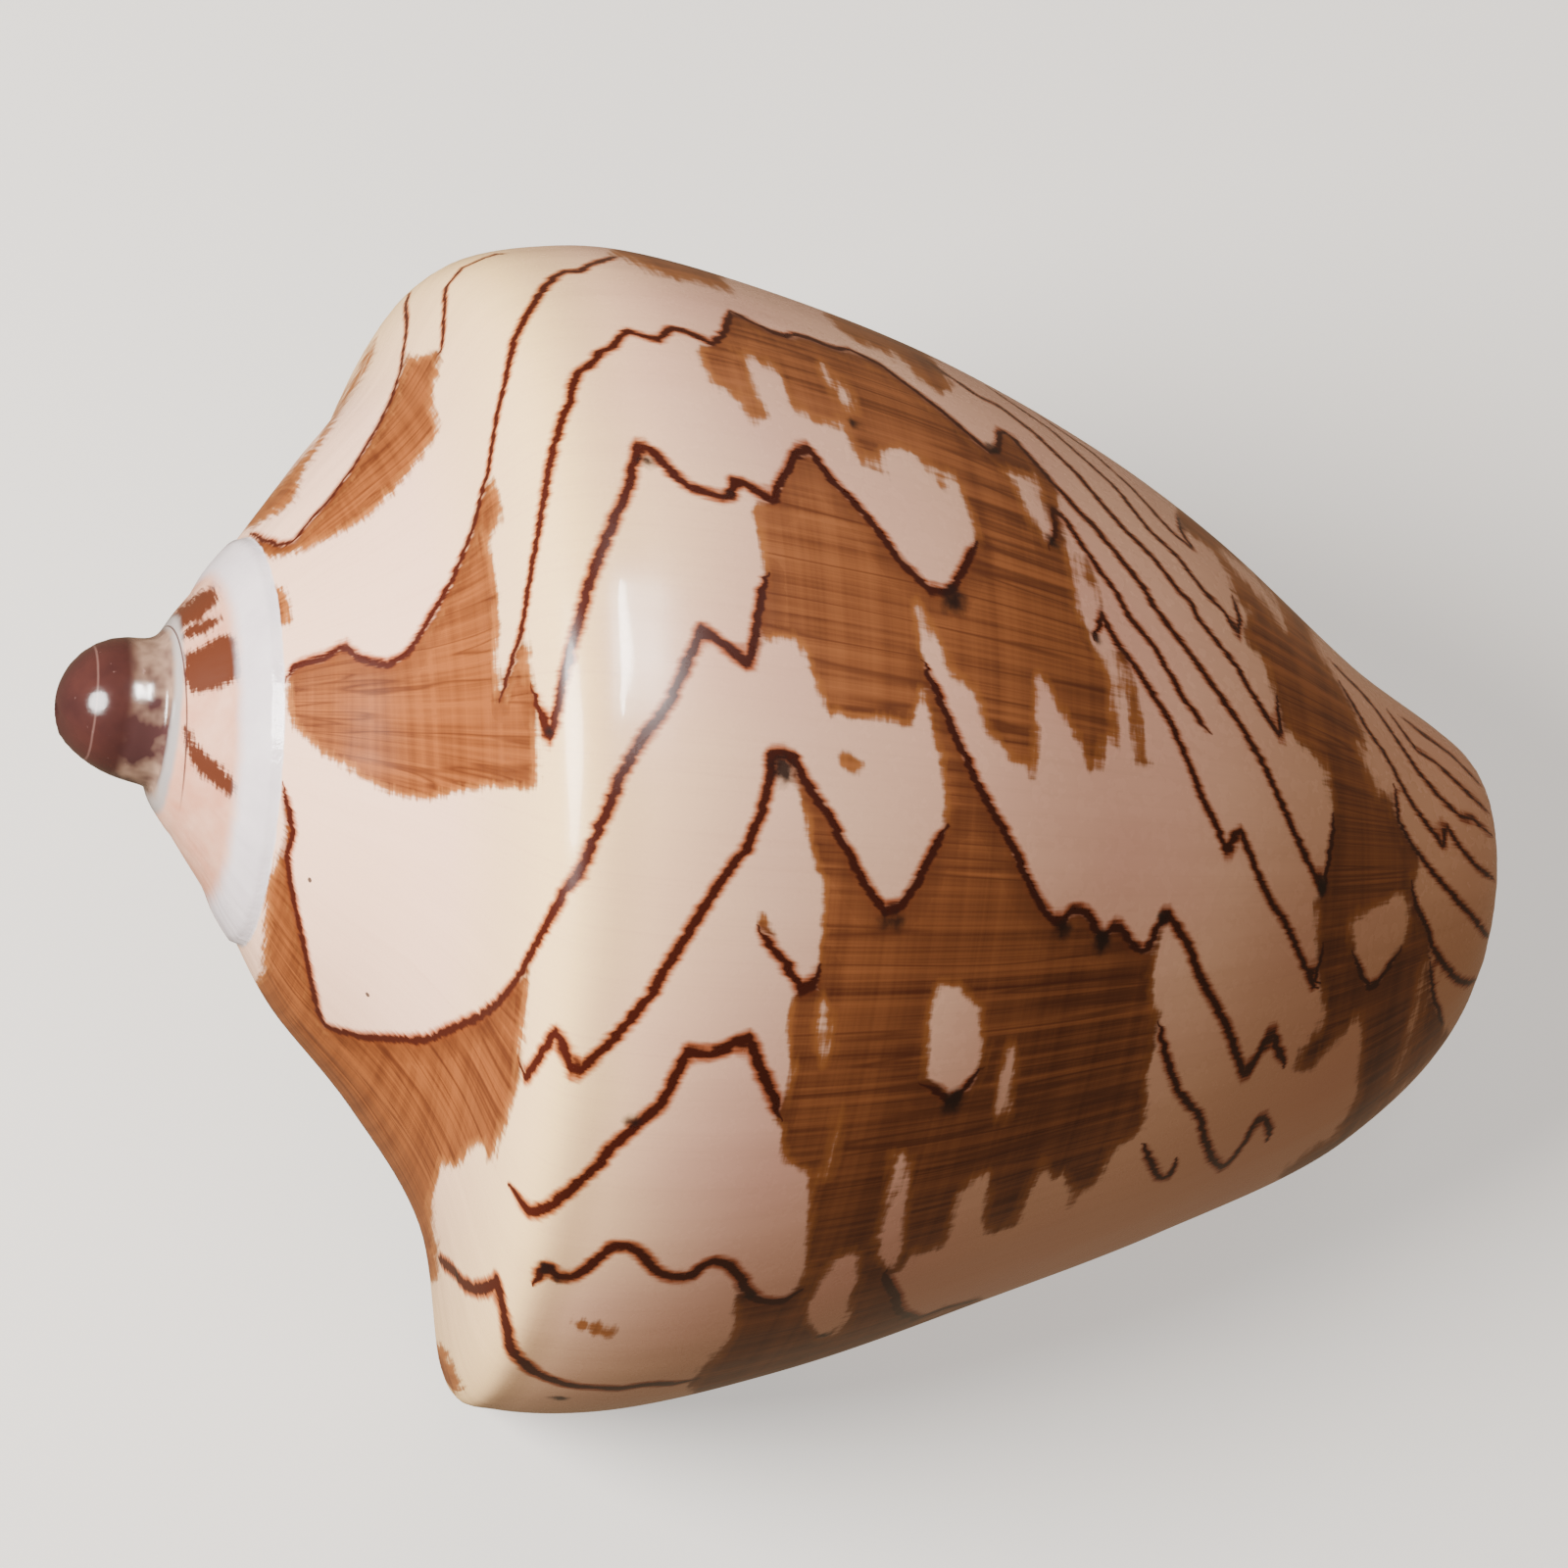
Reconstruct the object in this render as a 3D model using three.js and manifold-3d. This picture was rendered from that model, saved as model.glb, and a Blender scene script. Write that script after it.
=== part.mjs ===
// A volute seashell resting on its opening. Millimetres, +Z up, apex towards -X, tip towards +X.
import * as THREE from 'three';
import { mergeVertices } from 'three/addons/utils/BufferGeometryUtils.js';
import Module from 'manifold-3d';

// Driving dimensions

// Outer wall, and how far the rounded lip stands forward of the cut edge
const WALL = 2.6;
const LIP_ROUND = 1.3;
// The opening runs this share of a turn into the body whorl
const OPENING_DEPTH = 0.6;
// Siphon notch at the tip: how far the lip draws back, in turns, and where along the outline
const NOTCH_TURN = 0.05;
const NOTCH_SPOT = 10.7;
const NOTCH_REACH = 1.1;
const NOTCH_RAMP_TURN = 0.25;
// Folds on the pillar inside the opening
const FOLD_COUNT = 4;
const FOLD_HEIGHT = 2;
const FOLD_FIRST_SPOT = 8.15;
const FOLD_LAST_SPOT = 9.65;
const FOLD_WIDTH = 0.2;
const FOLD_SLANT = 1.2;
const FOLD_FADE_TURNS = [0.94, 1.04];
// Smooth first shell at the apex
const DOME_RADIUS = 5.3;
const DOME_CENTRE = 3.8;
const DOME_NECK = [6.2, 6.2];
// Resting attitude: the apex end rises, and the lip lies this far round from the top
const AXIS_RISE_DEG = 11.3;
const LIP_ROUND_FROM_TOP_DEG = 125;
// Facets
const STEPS_PER_TURN = 42;
const FIRST_TURN = -2.75;
const DOME_SIDES = 24;
const DOME_RINGS = 6;

// The suture, as [distance from the axis, distance below the apex], every half turn from three turns
// before the lip. It runs on past the lip for one turn as a line on the sloping top of the body whorl,
// because each whorl is laid down on the line that the whorl before it left for it.
const SUTURE_FIRST_TURN = -3;
const SUTURE_LAST_TURN = 1;
const SUTURE = [
  [1.9, 1.8], [2.8, 2.7], [4.2, 4.0], [6.2, 5.8], [9.1, 8.2],
  [13.5, 11.2], [16.8, 14.2], [21.1, 16.1], [28.5, 24.4],
];
// Near the lip the top bulges over the shoulder of the whorl beneath
const BULGE = [-0.9, -1.6];
const BULGE_FIRST_TURN = -0.35;
const BULGE_FULL_TURN = -0.1;
// Facets along the sloping top, on both sides of its middle
const SLOPE_ROWS = 3;
// Rest of the outline, from the slope to the tip, as [distance from the axis, distance below the apex]
// at the lip, half a turn before it and a full turn before it. rows counts the facets up to each spot.
const TIP_DROP = 107.8;
const OUTLINE = [
  { rows: 2, lip: [37.3, 31.1], half: [26.4, 19.5], full: [18.6, 17.0] },
  { rows: 3, lip: [48.5, 34.4], half: [34.7, 23.0], full: [21.0, 20.0] },
  { rows: 2, lip: [50.4, 37.3], half: [37.6, 29.9], full: [25.5, 25.5] },
  { rows: 3, lip: [49.7, 46.6], half: [37.8, 39.3], full: [28.0, 34.3] },
  { rows: 3, lip: [45.7, 59.2], half: [34.3, 56.3], full: [25.4, 53.0] },
  { rows: 3, lip: [40.0, 72.7], half: [29.3, 70.4], full: [21.3, 67.9] },
  { rows: 7, lip: [33.5, 87.5], half: [22.9, 82.7], full: [15.2, 78.5] },
  { rows: 7, lip: [25.6, 102.5], half: [13.6, 96.1], full: [7.2, 91.3] },
  { rows: 3, lip: [14.4, 110.5], half: [6.6, 108.3], full: [2.8, 106.3] },
  { rows: 6, lip: [0, TIP_DROP], half: [0, TIP_DROP], full: [0, TIP_DROP] },
];

// Rows of facets along the outline, and the rows where the walls meet. Spots 0, 1 and 2 are the
// suture, the middle of the slope and the line for the next whorl; the outline follows.
const LINE_SPOT = 2;
const LAST_SPOT = LINE_SPOT + OUTLINE.length;
const ROW_SPOTS = [0];
[SLOPE_ROWS, SLOPE_ROWS, ...OUTLINE.map((spot) => spot.rows)].forEach((rows, spot) => {
  for (let row = 1; row <= rows; row += 1) ROW_SPOTS.push(spot + row / rows);
});
const LAST_ROW = ROW_SPOTS.length - 1;
const SUTURE_ROW = ROW_SPOTS.indexOf(LINE_SPOT);
const LIP_RINGS = 5;
const ROOF_ROW = SUTURE_ROW + LIP_RINGS + 1;
const PILLAR_ROW = LAST_ROW - LIP_RINGS - 1;
const OPENING_STEPS = Math.round(OPENING_DEPTH * STEPS_PER_TURN);
const FIRST_STEP = Math.round(FIRST_TURN * STEPS_PER_TURN);
const END_SPOT = 7;

const SUTURE_CURVE = new THREE.SplineCurve(SUTURE.map((place) => new THREE.Vector2(...place)));
function sutureAt(turn) {
  return SUTURE_CURVE.getPoint(THREE.MathUtils.inverseLerp(SUTURE_FIRST_TURN, SUTURE_LAST_TURN, turn));
}

// A size at any turn: its three given values, blended by their logarithms
const TINY = 1e-6;
function grown(atLip, atHalf, atFull, turn) {
  const lip = Math.max(atLip, TINY);
  const half = Math.max(atHalf, TINY);
  const full = Math.max(atFull, TINY);
  if (turn < -1) return full * (lip / full) ** (turn + 1);
  const lipShare = (2 * turn + 1) * (turn + 1);
  const halfShare = -4 * turn * (turn + 1);
  const fullShare = turn * (2 * turn + 1);
  return lip ** lipShare * half ** halfShare * full ** fullShare;
}

// The whorl's outline at any turn, as a smooth curve through its spots
function outlineCurve(turn) {
  const suture = sutureAt(turn);
  const line = sutureAt(turn + 1);
  const bulge = THREE.MathUtils.smoothstep(turn, BULGE_FIRST_TURN, BULGE_FULL_TURN);
  const middle = suture.clone().lerp(line, 0.5).addScaledVector(new THREE.Vector2(...BULGE), bulge);
  const rest = OUTLINE.map(({ lip, half, full }) => new THREE.Vector2(
    grown(lip[0], half[0], full[0], turn),
    grown(lip[1], half[1], full[1], turn),
  ));
  return new THREE.SplineCurve([suture, middle, line, ...rest]);
}

function outlineAt(turn, spot) {
  return outlineCurve(turn).getPoint(THREE.MathUtils.clamp(spot / LAST_SPOT, 0, 1));
}

function outwardAt(turn, spot) {
  const nearby = 0.02;
  const along = outlineAt(turn, spot + nearby).sub(outlineAt(turn, spot - nearby)).normalize();
  return new THREE.Vector2(along.y, -along.x);
}

// Rounded bump: 1 at the middle, 0 from the given reach outwards
function bump(distance, reach) {
  const share = Math.min(Math.abs(distance) / reach, 1);
  return 0.5 + 0.5 * Math.cos(Math.PI * share);
}

// Slanting folds on the pillar, fading out where the body whorl comes out of the opening
function foldHeight(turn, spot) {
  const fade = THREE.MathUtils.smoothstep(-turn, ...FOLD_FADE_TURNS);
  let height = 0;
  for (let fold = 0; fold < FOLD_COUNT; fold += 1) {
    const spacing = (FOLD_LAST_SPOT - FOLD_FIRST_SPOT) / (FOLD_COUNT - 1);
    const crest = FOLD_FIRST_SPOT + fold * spacing + FOLD_SLANT * (turn + 1);
    height += FOLD_HEIGHT * bump(spot - crest, FOLD_WIDTH);
  }
  return height * fade;
}

function surfaceAt(turn, spot) {
  return outlineAt(turn, spot).addScaledVector(outwardAt(turn, spot), foldHeight(turn, spot));
}

// The lip draws back at the siphon notch, over the last steps before it
function notchedTurn(step, row) {
  const ramp = THREE.MathUtils.smoothstep(step, -NOTCH_RAMP_TURN * STEPS_PER_TURN, 0);
  return step / STEPS_PER_TURN - NOTCH_TURN * ramp * bump(ROW_SPOTS[row] - NOTCH_SPOT, NOTCH_REACH);
}

const LIP_ANGLE = THREE.MathUtils.degToRad(LIP_ROUND_FROM_TOP_DEG);
function inSpace(outline, turn) {
  const angle = LIP_ANGLE + 2 * Math.PI * turn;
  return new THREE.Vector3(outline.y, -outline.x * Math.sin(angle), outline.x * Math.cos(angle));
}

// Vertices, each made once and shared by the strips that meet there
const points = [];
const triangles = [];
const made = new Map();

function vertex(key, place) {
  if (!made.has(key)) {
    const point = place();
    made.set(key, points.length);
    points.push(point);
  }
  return made.get(key);
}

function outer(step, row) {
  if (row === LAST_ROW) return vertex('tip', () => inSpace(new THREE.Vector2(0, TIP_DROP), 0));
  const beneath = step - STEPS_PER_TURN;
  if (row === 0 && beneath >= FIRST_STEP) return outer(beneath, SUTURE_ROW);
  const turn = notchedTurn(step, row);
  return vertex(`outer ${step} ${row}`, () => inSpace(surfaceAt(turn, ROW_SPOTS[row]), turn));
}

// Inside of the wall: the outline moved in by the wall, ending on the whorl beneath it
function insideAt(turn, row) {
  const roof = surfaceAt(turn - 1, ROW_SPOTS[ROOF_ROW]);
  const pillar = surfaceAt(turn - 1, ROW_SPOTS[PILLAR_ROW]);
  const wall = [];
  for (let spot = LINE_SPOT; spot < LAST_SPOT; spot += 1) {
    wall.push(outlineAt(turn, spot).addScaledVector(outwardAt(turn, spot), -WALL));
  }
  const curve = new THREE.SplineCurve([roof, ...wall, pillar]);
  const spot = ROW_SPOTS[row];
  const along = spot < LINE_SPOT ? spot / LINE_SPOT : spot - 1;
  return curve.getPoint(along / (LAST_SPOT - 1));
}

function inner(step, row) {
  const beneath = step - STEPS_PER_TURN;
  if (row === 0) return outer(beneath, ROOF_ROW);
  if (row === LAST_ROW) return outer(beneath, PILLAR_ROW);
  const turn = notchedTurn(step, row);
  return vertex(`inner ${step} ${row}`, () => inSpace(insideAt(turn, row), turn));
}

// Rounded lip: rings that turn from the outside of the wall to its inside
function lip(ring, row) {
  if (row === 0) return outer(-STEPS_PER_TURN, SUTURE_ROW + ring);
  if (row === LAST_ROW) return outer(-STEPS_PER_TURN, LAST_ROW - ring);
  return vertex(`lip ${ring} ${row}`, () => {
    const outside = points[outer(0, row)];
    const inside = points[inner(0, row)];
    const forward = outside.clone().sub(points[outer(-1, row)]).normalize();
    const angle = (Math.PI * ring) / (LIP_RINGS + 1);
    const fade = Math.min(row, LAST_ROW - row, LIP_RINGS) / LIP_RINGS;
    const middle = outside.clone().lerp(inside, 0.5 - 0.5 * Math.cos(angle));
    return middle.addScaledVector(forward, LIP_ROUND * fade * Math.sin(angle));
  });
}

function facet(a, b, c) {
  if (a !== b && b !== c && a !== c) triangles.push(a, b, c);
}

// A strip of facets between two neighbouring columns of vertices
function strip(column, next, firstRow, lastRow) {
  for (let row = firstRow; row < lastRow; row += 1) {
    facet(column(row), next(row), next(row + 1));
    facet(column(row), next(row + 1), column(row + 1));
  }
}

function coilShell() {
  // Sloping spire, body whorl, lip and the inside of the body whorl are one long strip
  for (let step = FIRST_STEP; step < -STEPS_PER_TURN; step += 1) {
    strip((row) => outer(step, row), (row) => outer(step + 1, row), 0, SUTURE_ROW);
  }
  for (let step = -STEPS_PER_TURN; step < 0; step += 1) {
    strip((row) => outer(step, row), (row) => outer(step + 1, row), 0, LAST_ROW);
  }
  const lipColumn = (ring) => (row) => {
    if (ring === 0) return outer(0, row);
    if (ring > LIP_RINGS) return inner(0, row);
    return lip(ring, row);
  };
  for (let ring = 0; ring <= LIP_RINGS; ring += 1) {
    strip(lipColumn(ring), lipColumn(ring + 1), 0, LAST_ROW);
  }
  for (let step = 0; step > -OPENING_STEPS; step -= 1) {
    strip((row) => inner(step, row), (row) => inner(step - 1, row), 0, LAST_ROW);
  }
  // The whorl beneath shows inside the opening
  const deepest = -STEPS_PER_TURN - OPENING_STEPS;
  for (let step = deepest; step < -STEPS_PER_TURN; step += 1) {
    strip((row) => outer(step, row), (row) => outer(step + 1, row), ROOF_ROW, PILLAR_ROW);
  }
  // End of the opening, deep inside
  const endTurn = -OPENING_DEPTH;
  const endOutside = insideAt(endTurn, ROW_SPOTS.indexOf(END_SPOT));
  const endInside = surfaceAt(endTurn - 1, END_SPOT);
  const end = vertex('end', () => inSpace(endOutside.lerp(endInside, 0.5), endTurn));
  for (let row = 0; row < LAST_ROW; row += 1) {
    facet(end, inner(-OPENING_STEPS, row + 1), inner(-OPENING_STEPS, row));
  }
  for (let row = ROOF_ROW; row < PILLAR_ROW; row += 1) {
    facet(end, outer(deepest, row), outer(deepest, row + 1));
  }
  // Start of the coil, hidden in the dome at the apex
  const start = vertex('start', () => inSpace(new THREE.Vector2(0, DOME_CENTRE), 0));
  for (let row = 0; row < SUTURE_ROW; row += 1) {
    facet(start, outer(FIRST_STEP, row), outer(FIRST_STEP, row + 1));
  }
  for (let step = FIRST_STEP; step < FIRST_STEP + STEPS_PER_TURN; step += 1) {
    facet(start, outer(step + 1, 0), outer(step, 0));
  }
  const geometry = new THREE.BufferGeometry().setFromPoints(points);
  geometry.setIndex(triangles);
  return geometry;
}

// The dome is a round cap with a short flared neck that runs into the spire
function dome() {
  const profile = new THREE.Path();
  profile.moveTo(0, DOME_CENTRE - DOME_RADIUS);
  profile.absarc(0, DOME_CENTRE, DOME_RADIUS, -Math.PI / 2, 0);
  profile.quadraticCurveTo(DOME_RADIUS, DOME_NECK[1], ...DOME_NECK);
  profile.lineTo(0, DOME_NECK[1]);
  const cap = new THREE.LatheGeometry(profile.getPoints(DOME_RINGS), DOME_SIDES);
  cap.rotateZ(-Math.PI / 2);
  cap.deleteAttribute('normal');
  cap.deleteAttribute('uv');
  return mergeVertices(cap);
}

// Joins the dome to the coil as one solid
const wasm = await Module();
wasm.setup();

function solid(geometry) {
  const vertProperties = new Float32Array(geometry.attributes.position.array);
  const triVerts = new Uint32Array(geometry.index.array);
  return new wasm.Manifold(new wasm.Mesh({ numProp: 3, vertProperties, triVerts }));
}

function joined() {
  const mesh = solid(coilShell()).add(solid(dome())).getMesh();
  const geometry = new THREE.BufferGeometry();
  geometry.setAttribute('position', new THREE.BufferAttribute(mesh.vertProperties, 3));
  geometry.setIndex(new THREE.BufferAttribute(mesh.triVerts, 1));
  return geometry;
}

// Lays the shell down and puts the middle of its box, at the surface it rests on, at the origin
function laidDown(geometry) {
  geometry.rotateY(THREE.MathUtils.degToRad(AXIS_RISE_DEG));
  geometry.computeBoundingBox();
  const middle = geometry.boundingBox.getCenter(new THREE.Vector3());
  geometry.translate(-middle.x, -middle.y, -geometry.boundingBox.min.z);
  geometry.computeVertexNormals();
  return geometry;
}

const glossyShell = new THREE.MeshStandardMaterial({ color: 0xe2c4a4, roughness: 0.28, metalness: 0 });
const shell = new THREE.Mesh(laidDown(joined()), glossyShell);
shell.name = 'shell';

const object = new THREE.Group();
object.add(shell);

export default object;
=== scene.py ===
# %% [markdown]
# # A volute shell
# A volute is a sea snail. Its shell is one long cone of lime, wound round an axis and laid down
# at the lip a little at a time, so every line on it is either a line of growth or a line of spin.
# We load the packed solid first. It fixes the place and the size, and we dress it from there.

# %% Load the frame
import math

import bmesh
import bpy
import numpy as np
from mathutils import Matrix, Vector
from mathutils.bvhtree import BVHTree
from mathutils.kdtree import KDTree


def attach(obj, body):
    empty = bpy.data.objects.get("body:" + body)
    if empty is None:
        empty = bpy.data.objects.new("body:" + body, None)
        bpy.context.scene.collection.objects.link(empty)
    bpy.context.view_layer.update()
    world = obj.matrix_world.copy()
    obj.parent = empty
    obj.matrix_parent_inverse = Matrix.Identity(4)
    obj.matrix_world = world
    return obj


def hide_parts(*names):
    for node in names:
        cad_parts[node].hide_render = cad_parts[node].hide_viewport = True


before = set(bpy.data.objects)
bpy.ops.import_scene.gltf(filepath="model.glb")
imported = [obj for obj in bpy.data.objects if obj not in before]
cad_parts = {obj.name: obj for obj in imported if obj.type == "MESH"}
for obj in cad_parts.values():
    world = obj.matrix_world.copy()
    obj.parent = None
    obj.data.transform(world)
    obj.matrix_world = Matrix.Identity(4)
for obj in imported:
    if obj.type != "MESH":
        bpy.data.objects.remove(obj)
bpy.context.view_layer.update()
MM = 0.001

# %% [markdown]
# ## The rule of growth
# A snail keeps its shape while it grows, so a few outlines are enough: the suture every half
# turn, and the rest of the whorl at the lip, half a turn before it and a full turn before it.
# Each size in between is blended by logarithms, because growth multiplies instead of adding.
# A Screw modifier would wind one outline, but it can't let the outline change on the way, so
# the stations are written down here and blended by a rule.

# %% Outline stations
SUTURE_FIRST_TURN = -3
SUTURE_LAST_TURN = 1
SUTURE = [
    (1.9, 1.8), (2.8, 2.7), (4.2, 4.0), (6.2, 5.8), (9.1, 8.2),
    (13.5, 11.2), (16.8, 14.2), (21.1, 16.1), (28.5, 24.4),
]
TIP_DROP = 107.8
AT_LIP = [
    (37.3, 31.1), (48.5, 34.4), (50.4, 37.3), (49.7, 46.6), (45.7, 59.2),
    (40.0, 72.7), (33.5, 87.5), (25.6, 102.5), (14.4, 110.5), (0, TIP_DROP),
]
AT_HALF = [
    (26.4, 19.5), (34.7, 23.0), (37.6, 29.9), (37.8, 39.3), (34.3, 56.3),
    (29.3, 70.4), (22.9, 82.7), (13.6, 96.1), (6.6, 108.3), (0, TIP_DROP),
]
AT_FULL = [
    (18.6, 17.0), (21.0, 20.0), (25.5, 25.5), (28.0, 34.3), (25.4, 53.0),
    (21.3, 67.9), (15.2, 78.5), (7.2, 91.3), (2.8, 106.3), (0, TIP_DROP),
]
BULGE = (-0.9, -1.6)
BULGE_TURNS = (-0.35, -0.1)
LINE_SPOT = 2
LAST_SPOT = 12
TINY = 1e-6
print("spots in the outline:", LAST_SPOT + 1, "stations of the suture:", len(SUTURE))

# %% [markdown]
# The suture is a smooth line through its stations. The first shell is a dome, so its line is a
# quarter of a circle and a short curved neck.

# %% Suture and dome lines
DOME_RADIUS = 5.3
DOME_CENTRE = 3.8
DOME_NECK = (6.2, 6.2)
SUTURE_STEPS = 400
DOME_STEPS = 48


def spline(places, shares):
    """A smooth curve through the places, at shares of its length from 0 to 1."""
    places = np.array(places, float)
    last = len(places) - 1
    along = np.clip(shares, 0, 1) * last
    step = np.minimum(along.astype(int), last - 1)
    part = (along - step)[:, None]
    before = places[np.maximum(step - 1, 0)]
    start = places[step]
    end = places[step + 1]
    after = places[np.minimum(step + 2, last)]
    curve = (2 * before - 5 * start + 4 * end - after) * part ** 2
    twist = (3 * start - before - 3 * end + after) * part ** 3
    return 0.5 * (2 * start + (end - before) * part + curve + twist)


suture_line = spline(SUTURE, np.linspace(0, 1, SUTURE_STEPS + 1))
cap_angles = np.linspace(0, math.pi / 2, DOME_STEPS // 2 + 1)
cap = np.stack([DOME_RADIUS * np.sin(cap_angles), DOME_CENTRE - DOME_RADIUS * np.cos(cap_angles)], 1)
neck_shares = np.linspace(0, 1, DOME_STEPS // 2 + 1)[1:, None]
neck_bend = np.array([DOME_RADIUS, DOME_NECK[1]])
neck = (1 - neck_shares) ** 2 * cap[-1] + 2 * neck_shares * (1 - neck_shares) * neck_bend
neck = neck + neck_shares ** 2 * np.array(DOME_NECK)
dome_line = np.concatenate([cap, neck])
print("suture points:", len(suture_line), "dome points:", len(dome_line))

# %% [markdown]
# ## Guides for the node tree
# The node tree reads the outlines from small point meshes. Curves could hold them too, but a
# point is read by its number and gives back the exact size. The guides have no faces, and they
# go away once the shell is made.

# %% Guide meshes


def guide(name, **columns):
    """A point mesh that carries vectors for the node tree to read."""
    count = len(next(iter(columns.values())))
    mesh = bpy.data.meshes.new(name)
    mesh.from_pydata([(0, 0, 0)] * count, [], [])
    for key, values in columns.items():
        rows = np.zeros((count, 3), np.float32)
        values = np.array(values, float)
        rows[:, :values.shape[1]] = values
        stored = mesh.attributes.new(key, "FLOAT_VECTOR", "POINT")
        stored.data.foreach_set("vector", rows.ravel())
    holder = bpy.data.objects.new(name, mesh)
    bpy.context.scene.collection.objects.link(holder)
    return holder


def logs(places):
    """Logarithms of sizes in mm."""
    return np.log(np.maximum(np.array(places, float), TINY))


# Rows of faces between one spot of the outline and the next
ROWS = [8, 8, 10, 11, 8, 12, 16, 18, 20, 20, 15, 25]
row_spots = [0.0]
for spot, rows in enumerate(ROWS):
    row_spots.extend(spot + (row + 1) / rows for row in range(rows))
LAST_ROW = len(row_spots) - 1
SUTURE_ROW = sum(ROWS[:LINE_SPOT])
LIP_STEPS = ROWS[-1]
ROOF_ROW = SUTURE_ROW + LIP_STEPS
PILLAR_ROW = LAST_ROW - LIP_STEPS
ROOF_SPOT = row_spots[ROOF_ROW]
PILLAR_SPOT = row_spots[PILLAR_ROW]

suture_guide = guide("suture guide", place=suture_line)
dome_guide = guide("dome guide", place=dome_line)
outline_guide = guide("outline guide", lip=logs(AT_LIP), half=logs(AT_HALF), full=logs(AT_FULL))
row_guide = guide("row guide", spot=np.array(row_spots)[:, None])
print("rows:", LAST_ROW, "roof spot:", ROOF_SPOT, "pillar spot:", PILLAR_SPOT)

# %% [markdown]
# ## Arithmetic that builds nodes
# Nodes can be wired one at a time, but a formula is easier to read than a chain of boxes. This
# small class turns ordinary arithmetic into math nodes, so the trees below read like the rule
# that they follow.

# %% Fields


def plug(tree, slot, value):
    """Link a field to a slot, or set a plain value on it."""
    if isinstance(value, Field):
        tree.links.new(value.socket, slot)
    else:
        slot.default_value = value


class Field:
    """A number that nodes work out at every point."""

    def __init__(self, tree, socket):
        self.tree = tree
        self.socket = socket

    def maths(self, operation, *others):
        node = self.tree.nodes.new("ShaderNodeMath")
        node.operation = operation
        for slot, value in zip(node.inputs, (self, *others)):
            plug(self.tree, slot, value)
        return Field(self.tree, node.outputs[0])

    def __add__(self, other):
        return self.maths("ADD", other)

    __radd__ = __add__

    def __sub__(self, other):
        return self.maths("SUBTRACT", other)

    def __rsub__(self, other):
        return self * -1 + other

    def __mul__(self, other):
        return self.maths("MULTIPLY", other)

    __rmul__ = __mul__

    def __truediv__(self, other):
        return self.maths("DIVIDE", other)

    def floor(self):
        return self.maths("FLOOR")

    def least(self, other):
        return self.maths("MINIMUM", other)

    def most(self, other):
        return self.maths("MAXIMUM", other)

    def within(self, low, high):
        return self.most(low).least(high)

    def above(self, level):
        return self.maths("GREATER_THAN", level)

    def ramp(self, low, high, smooth=True):
        """0 below low, 1 above high, with a soft step between."""
        node = self.tree.nodes.new("ShaderNodeMapRange")
        node.interpolation_type = "SMOOTHSTEP" if smooth else "LINEAR"
        for slot, value in zip(node.inputs, (self, low, high, 0.0, 1.0)):
            plug(self.tree, slot, value)
        return Field(self.tree, node.outputs[0])

    def size(self):
        return self.maths("ABSOLUTE")

    def toward(self, other, share):
        """This field where share is 0, the other where it is 1."""
        return self + (other - self) * share


print("a field can:", [name for name in vars(Field) if not name.startswith("_")])

# %% [markdown]
# A node group is a function made of nodes. These helpers build one, put one into another tree, and
# read what a guide stores.

# %% Node groups


def bump(distance, reach):
    """1 at the middle, 0 from the given reach outwards."""
    share = (distance.size() / reach).least(1)
    return (share * math.pi).maths("COSINE") * 0.5 + 0.5


def make_group(name, titles, body):
    """A node group with number inputs, and outputs named by what its body returns."""
    tree = bpy.data.node_groups.new(name, "GeometryNodeTree")
    for title in titles:
        tree.interface.new_socket(title, in_out="INPUT", socket_type="NodeSocketFloat")
    entry = tree.nodes.new("NodeGroupInput")
    leave = tree.nodes.new("NodeGroupOutput")
    fields = [Field(tree, entry.outputs[title]) for title in titles]
    for title, field in body(tree, *fields).items():
        tree.interface.new_socket(title, in_out="OUTPUT", socket_type="NodeSocketFloat")
        tree.links.new(field.socket, leave.inputs[title])
    return tree


def use(tree, inner, *values):
    """Put a node group into the tree and return its outputs."""
    node = tree.nodes.new("GeometryNodeGroup")
    node.node_tree = inner
    for slot, value in zip(node.inputs, values):
        plug(tree, slot, value)
    return [Field(tree, socket) for socket in node.outputs]


def lookup(tree, holder, key, index):
    """The vector that a guide stores at the point with that index."""
    info = tree.nodes.new("GeometryNodeObjectInfo")
    info.inputs["Object"].default_value = holder
    stored = tree.nodes.new("GeometryNodeInputNamedAttribute")
    stored.data_type = "FLOAT_VECTOR"
    stored.inputs["Name"].default_value = key
    sample = tree.nodes.new("GeometryNodeSampleIndex")
    sample.data_type = "FLOAT_VECTOR"
    sample.clamp = True
    tree.links.new(info.outputs["Geometry"], sample.inputs["Geometry"])
    tree.links.new(stored.outputs["Attribute"], sample.inputs["Value"])
    plug(tree, sample.inputs["Index"], (index + 0.5).floor())
    split = tree.nodes.new("ShaderNodeSeparateXYZ")
    tree.links.new(sample.outputs[0], split.inputs[0])
    return [Field(tree, socket) for socket in split.outputs]


def along(tree, holder, steps, share):
    """A place along a guide's row of points, at a share of its length."""
    place = share.within(0, 1) * steps
    step = place.floor().least(steps - 1)
    start = lookup(tree, holder, "place", step)
    end = lookup(tree, holder, "place", step + 1)
    return [a.toward(b, place - step) for a, b in zip(start[:2], end[:2])]


# %% [markdown]
# ## The whorl's outline as node groups
# Spots 0, 1 and 2 are the suture, the middle of the sloping top and the line that the next
# whorl will be laid on. Spots 3 to 12 run over the shoulder and down to the tip.

# %% Spots of the outline


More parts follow.
